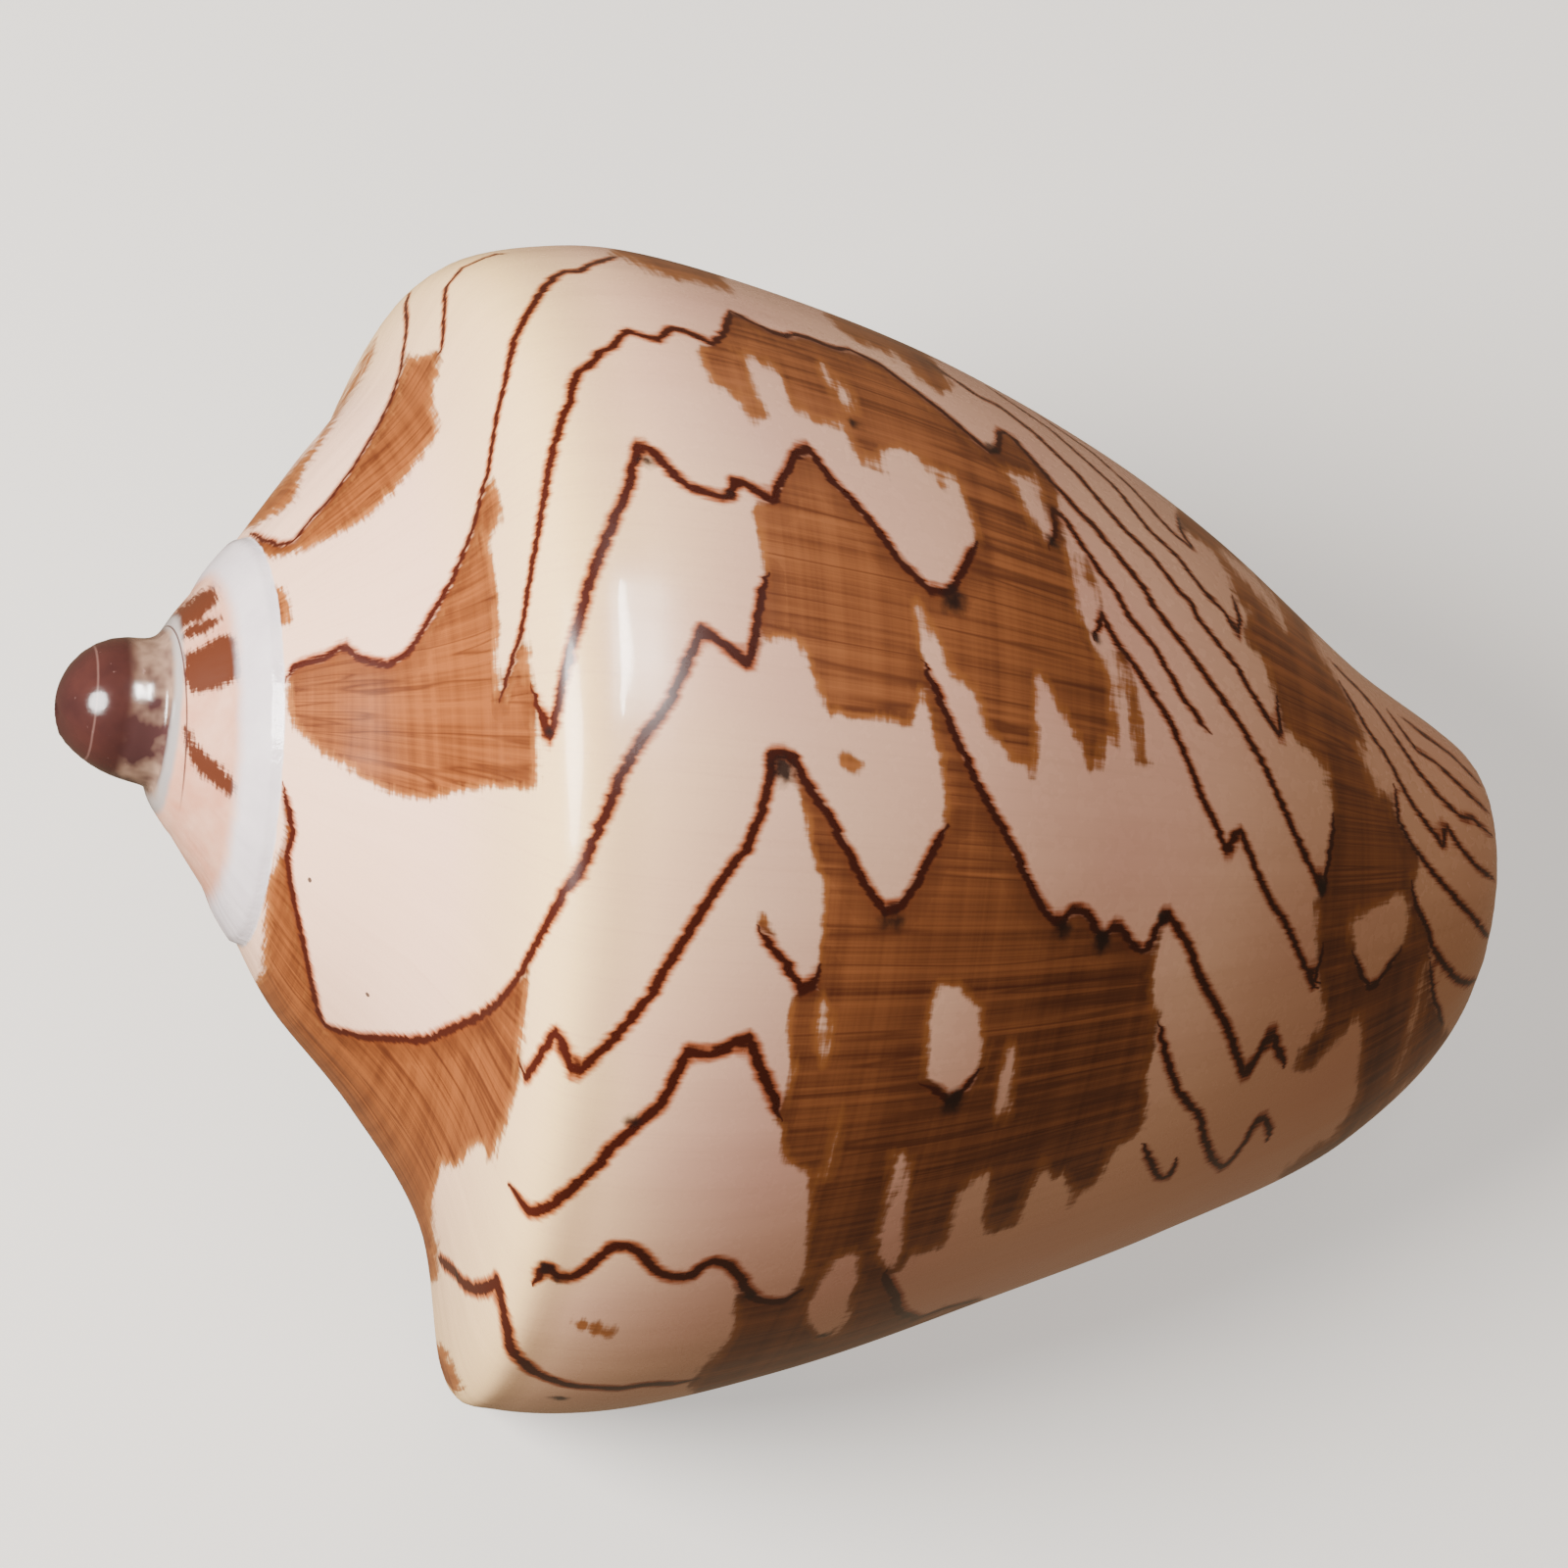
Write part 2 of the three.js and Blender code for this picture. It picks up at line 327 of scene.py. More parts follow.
def suture_body(tree, turn):
    """Where the suture lies at a turn."""
    share = (turn - SUTURE_FIRST_TURN) / (SUTURE_LAST_TURN - SUTURE_FIRST_TURN)
    radius, drop = along(tree, suture_guide, SUTURE_STEPS, share)
    return {"Radius": radius, "Drop": drop}


suture_group = make_group("Suture", ["Turn"], suture_body)


def spot_body(tree, turn, spot):
    """One spot of the outline, by its whole number."""
    suture = use(tree, suture_group, turn)
    line = use(tree, suture_group, turn + 1)
    bulge = turn.ramp(*BULGE_TURNS)
    # Each of the three outlines counts fully at its own turn, 0, -0.5 or -1, and not at the others
    late = turn.most(-1)
    lip_share = (late * 2 + 1) * (late + 1)
    half_share = late * -4 * (late + 1)
    full_share = late * (late * 2 + 1)
    index = spot - LINE_SPOT - 1
    lip = lookup(tree, outline_guide, "lip", index)
    half = lookup(tree, outline_guide, "half", index)
    full = lookup(tree, outline_guide, "full", index)
    result = {}
    for axis, title in enumerate(["Radius", "Drop"]):
        middle = suture[axis].toward(line[axis], 0.5) + bulge * BULGE[axis]
        blend = lip[axis] * lip_share + half[axis] * half_share + full[axis] * full_share
        grown = (blend + (lip[axis] - full[axis]) * (turn - late)).maths("EXPONENT")
        upper = suture[axis].toward(middle, spot.above(0.5))
        upper = upper.toward(line[axis], spot.above(1.5))
        result[title] = upper.toward(grown, spot.above(2.5))
    return result


spot_group = make_group("Outline spot", ["Turn", "Spot"], spot_body)
print("groups:", [tree.name for tree in bpy.data.node_groups])

# %% [markdown]
# A smooth curve runs through four neighbouring spots at a time. Near the apex it gives way to the
# dome's line.

# %% Smooth outline
DOME_FIRST_TURN = -2.5
DOME_BLEND_TURNS = (-1.7, -1.35)


def outline_body(tree, turn, spot):
    """The smooth outline, and the dome that closes the apex."""
    step = spot.floor().within(0, LAST_SPOT - 1)
    part = (spot - step).within(0, 1)
    spots = [(step + shift).within(0, LAST_SPOT) for shift in (-1, 0, 1, 2)]
    places = [use(tree, spot_group, turn, place) for place in spots]
    age = turn + spot / LINE_SPOT
    dome = along(tree, dome_guide, DOME_STEPS, age - DOME_FIRST_TURN)
    grown = age.ramp(*DOME_BLEND_TURNS)
    result = {}
    for axis, title in enumerate(["Radius", "Drop"]):
        before, start, end, after = [place[axis] for place in places]
        curve = before * 2 - start * 5 + end * 4 - after
        twist = start * 3 - before - end * 3 + after
        smooth = start * 2 + part * (end - before + part * (curve + part * twist))
        result[title] = dome[axis].toward(smooth * 0.5, grown)
    return result


outline_group = make_group("Whorl outline", ["Turn", "Spot"], outline_body)
print("nodes in the outline:", len(outline_group.nodes))

# %% [markdown]
# ## Surface, folds and wall
# The lip stops growing again and again, and each stop leaves a low ridge. The glaze is a thin coat
# over the last suture. Both are real relief, laid on the outline along the direction outwards.

# %% Outwards and relief
NEARBY = 0.02
CALLUS_HEIGHT = 0.3
CALLUS_TURNS = (-1.75, -1.6, -0.99, -0.96)
CALLUS_SPOTS = (0.95, 1.45, 1.9, 2.0)
RIDGE_HEIGHT = 0.12
RIDGES_PER_TURN = 70
RIDGES_PER_SPOT = 0.5
RIDGE_TURNS = (-1.6, -1.1)
SPIRE_END_TURNS = (-1, -0.97)
SUTURE_REACH = 0.2


def outward(tree, turn, spot):
    """The direction away from the whorl, in the plane of its outline."""
    ahead = use(tree, outline_group, turn, spot + NEARBY)
    behind = use(tree, outline_group, turn, spot - NEARBY)
    radius = ahead[0] - behind[0]
    drop = ahead[1] - behind[1]
    length = (radius * radius + drop * drop).maths("SQRT").most(TINY)
    return drop / length, (radius / length) * -1


def relief(tree, turn, spot):
    """Low ridges left by each stop in growth, and the glaze that thickens the suture."""
    callus = turn.ramp(*CALLUS_TURNS[:2]) * (1 - turn.ramp(*CALLUS_TURNS[2:]))
    callus = callus * spot.ramp(*CALLUS_SPOTS[:2]) * (1 - spot.ramp(*CALLUS_SPOTS[2:]))
    noise = tree.nodes.new("ShaderNodeTexNoise")
    noise.noise_dimensions = "2D"
    joined = tree.nodes.new("ShaderNodeCombineXYZ")
    plug(tree, joined.inputs[0], turn * RIDGES_PER_TURN)
    plug(tree, joined.inputs[1], spot * RIDGES_PER_SPOT)
    tree.links.new(joined.outputs[0], noise.inputs["Vector"])
    noise.inputs["Scale"].default_value = 1
    noise.inputs["Detail"].default_value = 3
    ridges = (Field(tree, noise.outputs[0]) - 0.5) * RIDGE_HEIGHT * turn.ramp(*RIDGE_TURNS)
    in_spire = 1 - turn.ramp(*SPIRE_END_TURNS)
    at_line = 1 - (spot - LINE_SPOT).size().ramp(0, SUTURE_REACH)
    kept = spot.ramp(0, SUTURE_REACH) * (1 - in_spire * at_line)
    return ridges * kept + callus * CALLUS_HEIGHT


print("ridges in mm:", RIDGE_HEIGHT, "glaze in mm:", CALLUS_HEIGHT)

# %% [markdown]
# Slanting folds cross the pillar, for the animal's muscle to slide along. They could be ridges of
# their own, but raising the outline leaves no seam.

# %% Surface with folds
FOLD_COUNT = 4
FOLD_HEIGHT = 2
FOLD_SPOTS = (8.15, 9.65)
FOLD_WIDTH = 0.2
FOLD_SLANT = 1.2
FOLD_FADE_TURNS = (-1.04, -0.94)


def surface_body(tree, turn, spot):
    """The outside of the whorl, with its folds and low relief."""
    place = use(tree, outline_group, turn, spot)
    away = outward(tree, turn, spot)
    folds = []
    for fold in range(FOLD_COUNT):
        crest = FOLD_SPOTS[0] + fold * (FOLD_SPOTS[1] - FOLD_SPOTS[0]) / (FOLD_COUNT - 1)
        folds.append(bump(spot - ((turn + 1) * FOLD_SLANT + crest), FOLD_WIDTH))
    height = sum(folds[1:], folds[0]) * FOLD_HEIGHT * (1 - turn.ramp(*FOLD_FADE_TURNS))
    height = height + relief(tree, turn, spot)
    return {"Radius": place[0] + away[0] * height, "Drop": place[1] + away[1] * height}


surface_group = make_group("Whorl surface", ["Turn", "Spot"], surface_body)
print("folds:", FOLD_COUNT, "nodes in the surface:", len(surface_group.nodes))

# %% [markdown]
# The inside of the wall is the same outline moved in by the wall's thickness. Its two ends lie on
# the whorl beneath. A last group puts a radius and a drop into space, round the axis.

# %% Inside of the wall
WALL = 2.6
LIP_ANGLE = math.radians(125)


def inside_body(tree, turn, spot):
    """The inside of the wall, from the roof of the opening to the pillar."""
    held = spot.within(LINE_SPOT, PILLAR_SPOT)
    place = use(tree, outline_group, turn, held)
    away = outward(tree, turn, held)
    roof = use(tree, surface_group, turn - 1, ROOF_SPOT)
    pillar = use(tree, surface_group, turn - 1, PILLAR_SPOT)
    from_roof = spot.ramp(0, LINE_SPOT, smooth=False)
    to_pillar = spot.ramp(PILLAR_SPOT, LAST_SPOT, smooth=False)
    result = {}
    for axis, title in enumerate(["Radius", "Drop"]):
        wall = place[axis] - away[axis] * WALL
        result[title] = roof[axis].toward(wall, from_roof).toward(pillar[axis], to_pillar)
    return result


inside_group = make_group("Inside of the wall", ["Turn", "Spot"], inside_body)


def in_space_body(tree, turn, radius, drop):
    """A place round the axis, in metres."""
    angle = turn * (2 * math.pi) + LIP_ANGLE
    return {
        "X": drop * MM,
        "Y": radius * angle.maths("SINE") * -MM,
        "Z": radius * angle.maths("COSINE") * MM,
    }


space_group = make_group("In space", ["Turn", "Radius", "Drop"], in_space_body)
print("groups:", len(bpy.data.node_groups))

# %% [markdown]
# ## Winding the sheet
# One long grid becomes the whole shell. Its first columns wind the spire and the body whorl,
# the next few roll over the lip, and the last ones go back inside. A Solidify modifier could give
# the wall, but it would thicken the hidden whorls too. Columns are closer together on the upper
# side, where the markings are finest.

# %% The tree and its inputs
winding = bpy.data.node_groups.new("Wind the shell", "GeometryNodeTree")
winding.interface.new_socket("Geometry", in_out="OUTPUT", socket_type="NodeSocketGeometry")
socket_of = {}
for title, kind in (("Outer columns", "Int"), ("Inner columns", "Int"), ("Lip rounding", "Float"),
                    ("Notch depth", "Float"), ("Finish", "Material")):
    made = winding.interface.new_socket(title, in_out="INPUT", socket_type="NodeSocket" + kind)
    socket_of[title] = made.identifier
entry = winding.nodes.new("NodeGroupInput")
leave = winding.nodes.new("NodeGroupOutput")
outer_columns = Field(winding, entry.outputs["Outer columns"])
inner_columns = Field(winding, entry.outputs["Inner columns"])
lip_rounding = Field(winding, entry.outputs["Lip rounding"])
notch_depth = Field(winding, entry.outputs["Notch depth"])
print("inputs:", list(socket_of))

# %% [markdown]
# Every point of the grid works out its column and its row from its own number, and from them its
# turn and its spot. Near the tip the lip is set back, which leaves the siphon's notch.

# %% Columns and rows
NOTCH_SPOT = 10.7
NOTCH_REACH = 1.1
NOTCH_RAMP_TURNS = (-0.25, 0)
COARSE_STEPS = 90
FINE_STEPS = 220
COARSE_SHARE = 0.44
STEPS = COARSE_STEPS + FINE_STEPS
ROUNDING = 1e-5
grid = winding.nodes.new("GeometryNodeMeshGrid")
plug(winding, grid.inputs["Vertices X"], outer_columns + inner_columns + (LIP_STEPS + 1))
grid.inputs["Vertices Y"].default_value = LAST_ROW + 1
index = Field(winding, winding.nodes.new("GeometryNodeInputIndex").outputs[0])
column = ((index + 0.5) / (LAST_ROW + 1)).floor()
row = index - column * (LAST_ROW + 1)
step = column - outer_columns
ring = step.within(0, LIP_STEPS)
is_outer = (step * -1).above(-0.5)
is_inner = step.above(LIP_STEPS - 0.5)
wound = step.least(0) - (step - LIP_STEPS).most(0)


def turn_of(steps):
    """Columns are coarse in the hidden part of each turn and fine in the rest."""
    whole = (steps / STEPS + ROUNDING).floor()
    part = steps - whole * STEPS
    hidden = (part / COARSE_STEPS).least(1) * COARSE_SHARE
    shown = (part - COARSE_STEPS).most(0) / FINE_STEPS * (1 - COARSE_SHARE)
    return whole + hidden + shown


turn = turn_of(wound)
spot = lookup(winding, row_guide, "spot", row)[0]
first_row = (row * -1).above(-0.5)
last_row = row.above(LAST_ROW - 0.5)
edge_row = first_row.most(last_row)
inward = edge_row * (1 - is_outer)
notch = notch_depth * turn.ramp(*NOTCH_RAMP_TURNS) * bump(spot - NOTCH_SPOT, NOTCH_REACH)
laid_turn = turn - notch

# The two long edges of the lip and of the inside lie on the whorl beneath
edge_step = first_row * (ring + SUTURE_ROW) + last_row * (LAST_ROW - ring)
edge_spot = lookup(winding, row_guide, "spot", edge_step)[0]
surface_turn = laid_turn.toward(turn - 1, inward)
surface_spot = spot.toward(edge_spot, inward)
print("columns in a turn:", STEPS, "columns on the lip:", LIP_STEPS)

# %% [markdown]
# Each point is now a blend of three places: on the outer surface, on the inside of the wall,
# and, on the lip, on a half round that joins the two.

# %% Lip and inside
LIP_BACK = 0.01
outside = use(winding, space_group, surface_turn, *use(winding, surface_group, surface_turn, surface_spot))
behind_turn = surface_turn - LIP_BACK
behind = use(winding, space_group, behind_turn, *use(winding, surface_group, behind_turn, surface_spot))
inside = use(winding, space_group, laid_turn, *use(winding, inside_group, laid_turn, spot))
gap = [a - b for a, b in zip(outside, behind)]
gap_length = (gap[0] * gap[0] + gap[1] * gap[1] + gap[2] * gap[2]).maths("SQRT").most(TINY * MM)
roll = ring / LIP_STEPS * math.pi
across = roll.maths("COSINE") * -0.5 + 0.5
fade = spot.least(LAST_SPOT - spot).within(0, 1)
stand = roll.maths("SINE") * lip_rounding * fade * MM
to_wall = across.toward(1, is_inner) * (1 - is_outer) * (1 - edge_row)
stand = stand * (1 - is_outer) * (1 - is_inner) * (1 - edge_row)
place = [a.toward(b, to_wall) + g / gap_length * stand for a, b, g in zip(outside, inside, gap)]
joined = winding.nodes.new("ShaderNodeCombineXYZ")
for slot, field in zip(joined.inputs, place):
    plug(winding, slot, field)
moved = winding.nodes.new("GeometryNodeSetPosition")
winding.links.new(grid.outputs["Mesh"], moved.inputs["Geometry"])
winding.links.new(joined.outputs[0], moved.inputs["Position"])
print("winding nodes so far:", len(winding.nodes))

# %% [markdown]
# The finish has to know where on the shell it is, so the turn, the spot and the sheet are stored.
# The corners of the faces keep them instead of the points, because two whorls share the points of
# a suture and have different values there.

# %% Values for the finish
sheet = (1 - is_outer) * (0.5 + 0.5 * is_inner)
kept_values = {"turn": laid_turn, "spot": surface_spot, "sheet": sheet, "step": wound, "row": row}
flow = moved.outputs["Geometry"]
for key, field in kept_values.items():
    store = winding.nodes.new("GeometryNodeStoreNamedAttribute")
    store.data_type = "FLOAT"
    store.domain = "CORNER"
    store.inputs["Name"].default_value = key
    on_points = winding.nodes.new("GeometryNodeFieldOnDomain")
    on_points.domain = "POINT"
    on_points.data_type = "FLOAT"
    plug(winding, on_points.inputs[0], field)
    winding.links.new(flow, store.inputs["Geometry"])
    winding.links.new(on_points.outputs[0], store.inputs["Value"])
    flow = store.outputs["Geometry"]
print("stored at the corners:", list(kept_values))

# %% [markdown]
# Each whorl covers most of the one before it. Faces that the coil hides are left out, apart from
# those that show through the opening. The rest is welded along the sutures, shaded smooth and
# given its material.

# %% Leave out what the coil hides
OPENING_DEPTH = 0.3
HAIR = 1e-4
WELD = 0.01 * MM
in_spire = (turn * -1).above(1 + HAIR) * is_outer
below_line = spot.above(LINE_SPOT + HAIR)
under_lip = turn.above(-1 - OPENING_DEPTH - HAIR) * spot.above(ROOF_SPOT - HAIR)
under_lip = under_lip * (1 - spot.above(PILLAR_SPOT + HAIR))
hidden = in_spire * below_line * (1 - under_lip)
drop_faces = winding.nodes.new("GeometryNodeDeleteGeometry")
drop_faces.domain = "POINT"
winding.links.new(flow, drop_faces.inputs["Geometry"])
plug(winding, drop_faces.inputs["Selection"], hidden)
weld = winding.nodes.new("GeometryNodeMergeByDistance")
winding.links.new(drop_faces.outputs["Geometry"], weld.inputs["Geometry"])
weld.inputs["Distance"].default_value = WELD
smooth = winding.nodes.new("GeometryNodeSetShadeSmooth")
winding.links.new(weld.outputs["Geometry"], smooth.inputs["Geometry"])
real = winding.nodes.new("GeometryNodeRealizeInstances")
winding.links.new(smooth.outputs["Geometry"], real.inputs["Geometry"])
finish = winding.nodes.new("GeometryNodeSetMaterial")
winding.links.new(real.outputs["Geometry"], finish.inputs["Geometry"])
winding.links.new(entry.outputs["Finish"], finish.inputs["Material"])
winding.links.new(finish.outputs["Geometry"], leave.inputs["Geometry"])
print("winding nodes:", len(winding.nodes))

# %% [markdown]
# ## Running the tree
# An empty carrier gets the tree as a modifier with named inputs. The result becomes a plain mesh,
# because other programs know nothing of node trees, and the carrier and the guides are removed.

# %% Wind the shell
WHOLE_TURNS = 3
FIRST_PART = 0.5
LIP_ROUND = 1.3
NOTCH_TURN = 0.05
OUTER_COLUMNS = WHOLE_TURNS * STEPS + round(FIRST_PART / (1 - COARSE_SHARE) * FINE_STEPS)
INNER_COLUMNS = round(OPENING_DEPTH / (1 - COARSE_SHARE) * FINE_STEPS)
material = bpy.data.materials.new("glossy shell")
material.use_nodes = True
carrier = bpy.data.objects.new("carrier", bpy.data.meshes.new("carrier"))
bpy.context.scene.collection.objects.link(carrier)
modifier = carrier.modifiers.new("wind", "NODES")
modifier.node_group = winding
modifier[socket_of["Outer columns"]] = OUTER_COLUMNS
modifier[socket_of["Inner columns"]] = INNER_COLUMNS
modifier[socket_of["Lip rounding"]] = LIP_ROUND
modifier[socket_of["Notch depth"]] = NOTCH_TURN
modifier[socket_of["Finish"]] = material
bpy.context.view_layer.update()
seen = carrier.evaluated_get(bpy.context.evaluated_depsgraph_get())
mesh = bpy.data.meshes.new_from_object(seen)
mesh.name = "shell whole"
mesh.materials.clear()
mesh.materials.append(material)
mesh.polygons.foreach_set("material_index", np.zeros(len(mesh.polygons), np.int32))
carrier.modifiers.remove(modifier)
for holder in (carrier, suture_guide, dome_guide, outline_guide, row_guide):
    bpy.data.objects.remove(holder)
print("vertices:", len(mesh.vertices), "faces:", len(mesh.polygons))

# %% [markdown]
# ## Laying the shell down
# The axis rises towards the apex until the shell rests on its lip and its tip. Its box is centred
# on the ground, as the packed solid's is, so the two lie in the same place.

# %% Lay down
AXIS_RISE = math.radians(11.3)


def vertex_rows(items, key):
    """Three numbers for each vertex, one row each."""
    rows = np.empty(len(items) * 3, np.float32)
    items.foreach_get(key, rows)
    return rows.reshape(-1, 3)


mesh.transform(Matrix.Rotation(AXIS_RISE, 4, "Y"))
corners = vertex_rows(mesh.vertices, "co")
low = corners.min(0)
high = corners.max(0)
shift = Vector((-(low[0] + high[0]) / 2, -(low[1] + high[1]) / 2, -low[2]))
mesh.transform(Matrix.Translation(shift))
shell = bpy.data.objects.new("shell_whole", mesh)
bpy.context.scene.collection.objects.link(shell)
print("size in mm:", [round(float(value) / MM, 2) for value in high - low])

# %% [markdown]
# Edges that are still open, such as the far end of the inside, are filled, so that the shell is one
# closed surface with its faces pointing outwards.

# %% Close the surface
welder = bmesh.new()
welder.from_mesh(mesh)
open_edges = [edge for edge in welder.edges if edge.is_boundary]
filled = bmesh.ops.holes_fill(welder, edges=open_edges, sides=0)
bmesh.ops.triangulate(welder, faces=filled["faces"])
bmesh.ops.recalc_face_normals(welder, faces=welder.faces)
open_edges = [edge for edge in welder.edges if not edge.is_manifold]
triangles = sum(len(face.verts) - 2 for face in welder.faces)
welder.to_mesh(mesh)
welder.free()
print("triangles:", triangles, "edges not closed:", len(open_edges))

# %% [markdown]
# ## Softening the apex
# A thin glaze fills the sutures of the young whorls, so no sharp corner is left there. Moving
# each point towards the middle of its neighbours, again and again, rounds them off in the same way.
# A Smooth modifier does that too, but here each point's share comes from its place on the spiral.

# %% Where it is soft
SOFT_TURNS = (-2.2, -1.95, -1.3, -1.05)
SOFT_SPOTS = (0.3, 0.7, 1.3, 1.7)
OUTER_SHEET = 0.1
count = len(mesh.vertices)
corner_point = np.empty(len(mesh.loops), np.int32)
mesh.loops.foreach_get("vertex_index", corner_point)


def corner_values(key):
    """What the winding tree stored at each corner of a face."""
    values = np.empty(len(mesh.loops), np.float32)
    mesh.attributes[key].data.foreach_get("value", values)
    return values


def slide(values, low, high):
    """0 below low, 1 above high, straight between."""
    return np.clip((values - low) / (high - low), 0, 1)


corner_turn = corner_values("turn")
corner_spot = corner_values("spot")
outer_corner = corner_values("sheet") < OUTER_SHEET
near_line = corner_spot > 1
at_start = 1 - slide(corner_spot, *SOFT_SPOTS[:2])
at_line = slide(corner_spot, *SOFT_SPOTS[2:])
near_suture = np.where(near_line, at_line, at_start) * (corner_spot < LINE_SPOT + 0.01) * outer_corner
suture_turn = corner_turn + near_line
near_suture = near_suture * slide(suture_turn, *SOFT_TURNS[:2])
near_suture = near_suture * (1 - slide(suture_turn, *SOFT_TURNS[2:]))
softness = np.zeros(count)
np.maximum.at(softness, corner_point, near_suture)
print("soft points:", int((softness > 0).sum()))

# %% [markdown]
# Every edge joins two neighbours. In each pass a soft point moves part of the way to the middle of
# its neighbours.

# %% Soften the apex
SOFT_PASSES = 30
SOFT_SHARE = 0.5
links = np.empty(len(mesh.edges) * 2, np.int32)
mesh.edges.foreach_get("vertices", links)
links = np.concatenate([links.reshape(-1, 2), links.reshape(-1, 2)[:, ::-1]])
degree = np.bincount(links[:, 0], minlength=count)
points = vertex_rows(mesh.vertices, "co").astype(float)
for _ in range(SOFT_PASSES):
    sums = [np.bincount(links[:, 0], points[links[:, 1], way], count) for way in range(3)]
    middle = np.stack(sums, 1) / degree[:, None]
    points += (middle - points) * SOFT_SHARE * softness[:, None]
mesh.vertices.foreach_set("co", points.astype(np.float32).ravel())
mesh.update()
print("passes:", SOFT_PASSES, "over", len(mesh.edges), "edges")

# %% [markdown]
# ## The camera
# It stands where the picture was taken: the apex falls on its pixel, and a millimetre of shell
# covers as many pixels as in the picture.

# %% Camera
AXIS_LEAN = math.radians(16)
AXIS_TILT = math.radians(5.7)
PICTURE = 1600
SENSOR = 36
APEX_PIXEL = (101.14, 720.72)
PIXELS_PER_MM = 13.41
DISTANCE = 450
HALF_LENGTH = 54
TURN_TOWARDS_CAMERA = math.radians(25)
level = math.cos(AXIS_LEAN)
axis = np.array([level * math.cos(AXIS_TILT), level * math.sin(AXIS_TILT), -math.sin(AXIS_LEAN)])
near = np.array([0, 0, 1]) - axis[2] * axis
near = near / np.linalg.norm(near)
down = np.cross(near, axis)
apex = np.array([
    (APEX_PIXEL[0] - PICTURE / 2) / PIXELS_PER_MM,
    (APEX_PIXEL[1] - PICTURE / 2) / PIXELS_PER_MM,
    HALF_LENGTH * math.sin(AXIS_LEAN),
])
in_camera = np.stack([axis, near, down], 1)
in_shell = np.array([
    [1, 0, 0],
    [0, -math.sin(TURN_TOWARDS_CAMERA), -math.cos(TURN_TOWARDS_CAMERA)],
    [0, math.cos(TURN_TOWARDS_CAMERA), -math.sin(TURN_TOWARDS_CAMERA)],
])
lay = np.array(Matrix.Rotation(AXIS_RISE, 3, "Y"))
to_world = lay @ in_shell @ in_camera.T
apex_place = np.array(shift)
eye = apex_place + to_world @ (np.array([0, 0, DISTANCE]) - apex) * MM
turned = Matrix((to_world * (1, -1, 1)).tolist()).to_4x4()
camera = bpy.data.objects.new("camera", bpy.data.cameras.new("camera"))
camera.matrix_world = Matrix.Translation(Vector(eye)) @ turned
camera.data.sensor_width = SENSOR
camera.data.lens = SENSOR * PIXELS_PER_MM * DISTANCE / PICTURE
bpy.context.scene.collection.objects.link(camera)
bpy.context.scene.camera = camera
print("eye in mm:", [round(float(value) / MM) for value in eye])

# %% [markdown]
# ## Reading the markings
# Tents are cream gaps that the brown leaves open. A line is born at a peak, where two waves of
# pigment start, and dies in a valley, where two waves meet. A painted image could be wrapped round
# the shell, but outlines stay sharp from near by. The brown patches come first, in picture pixels.

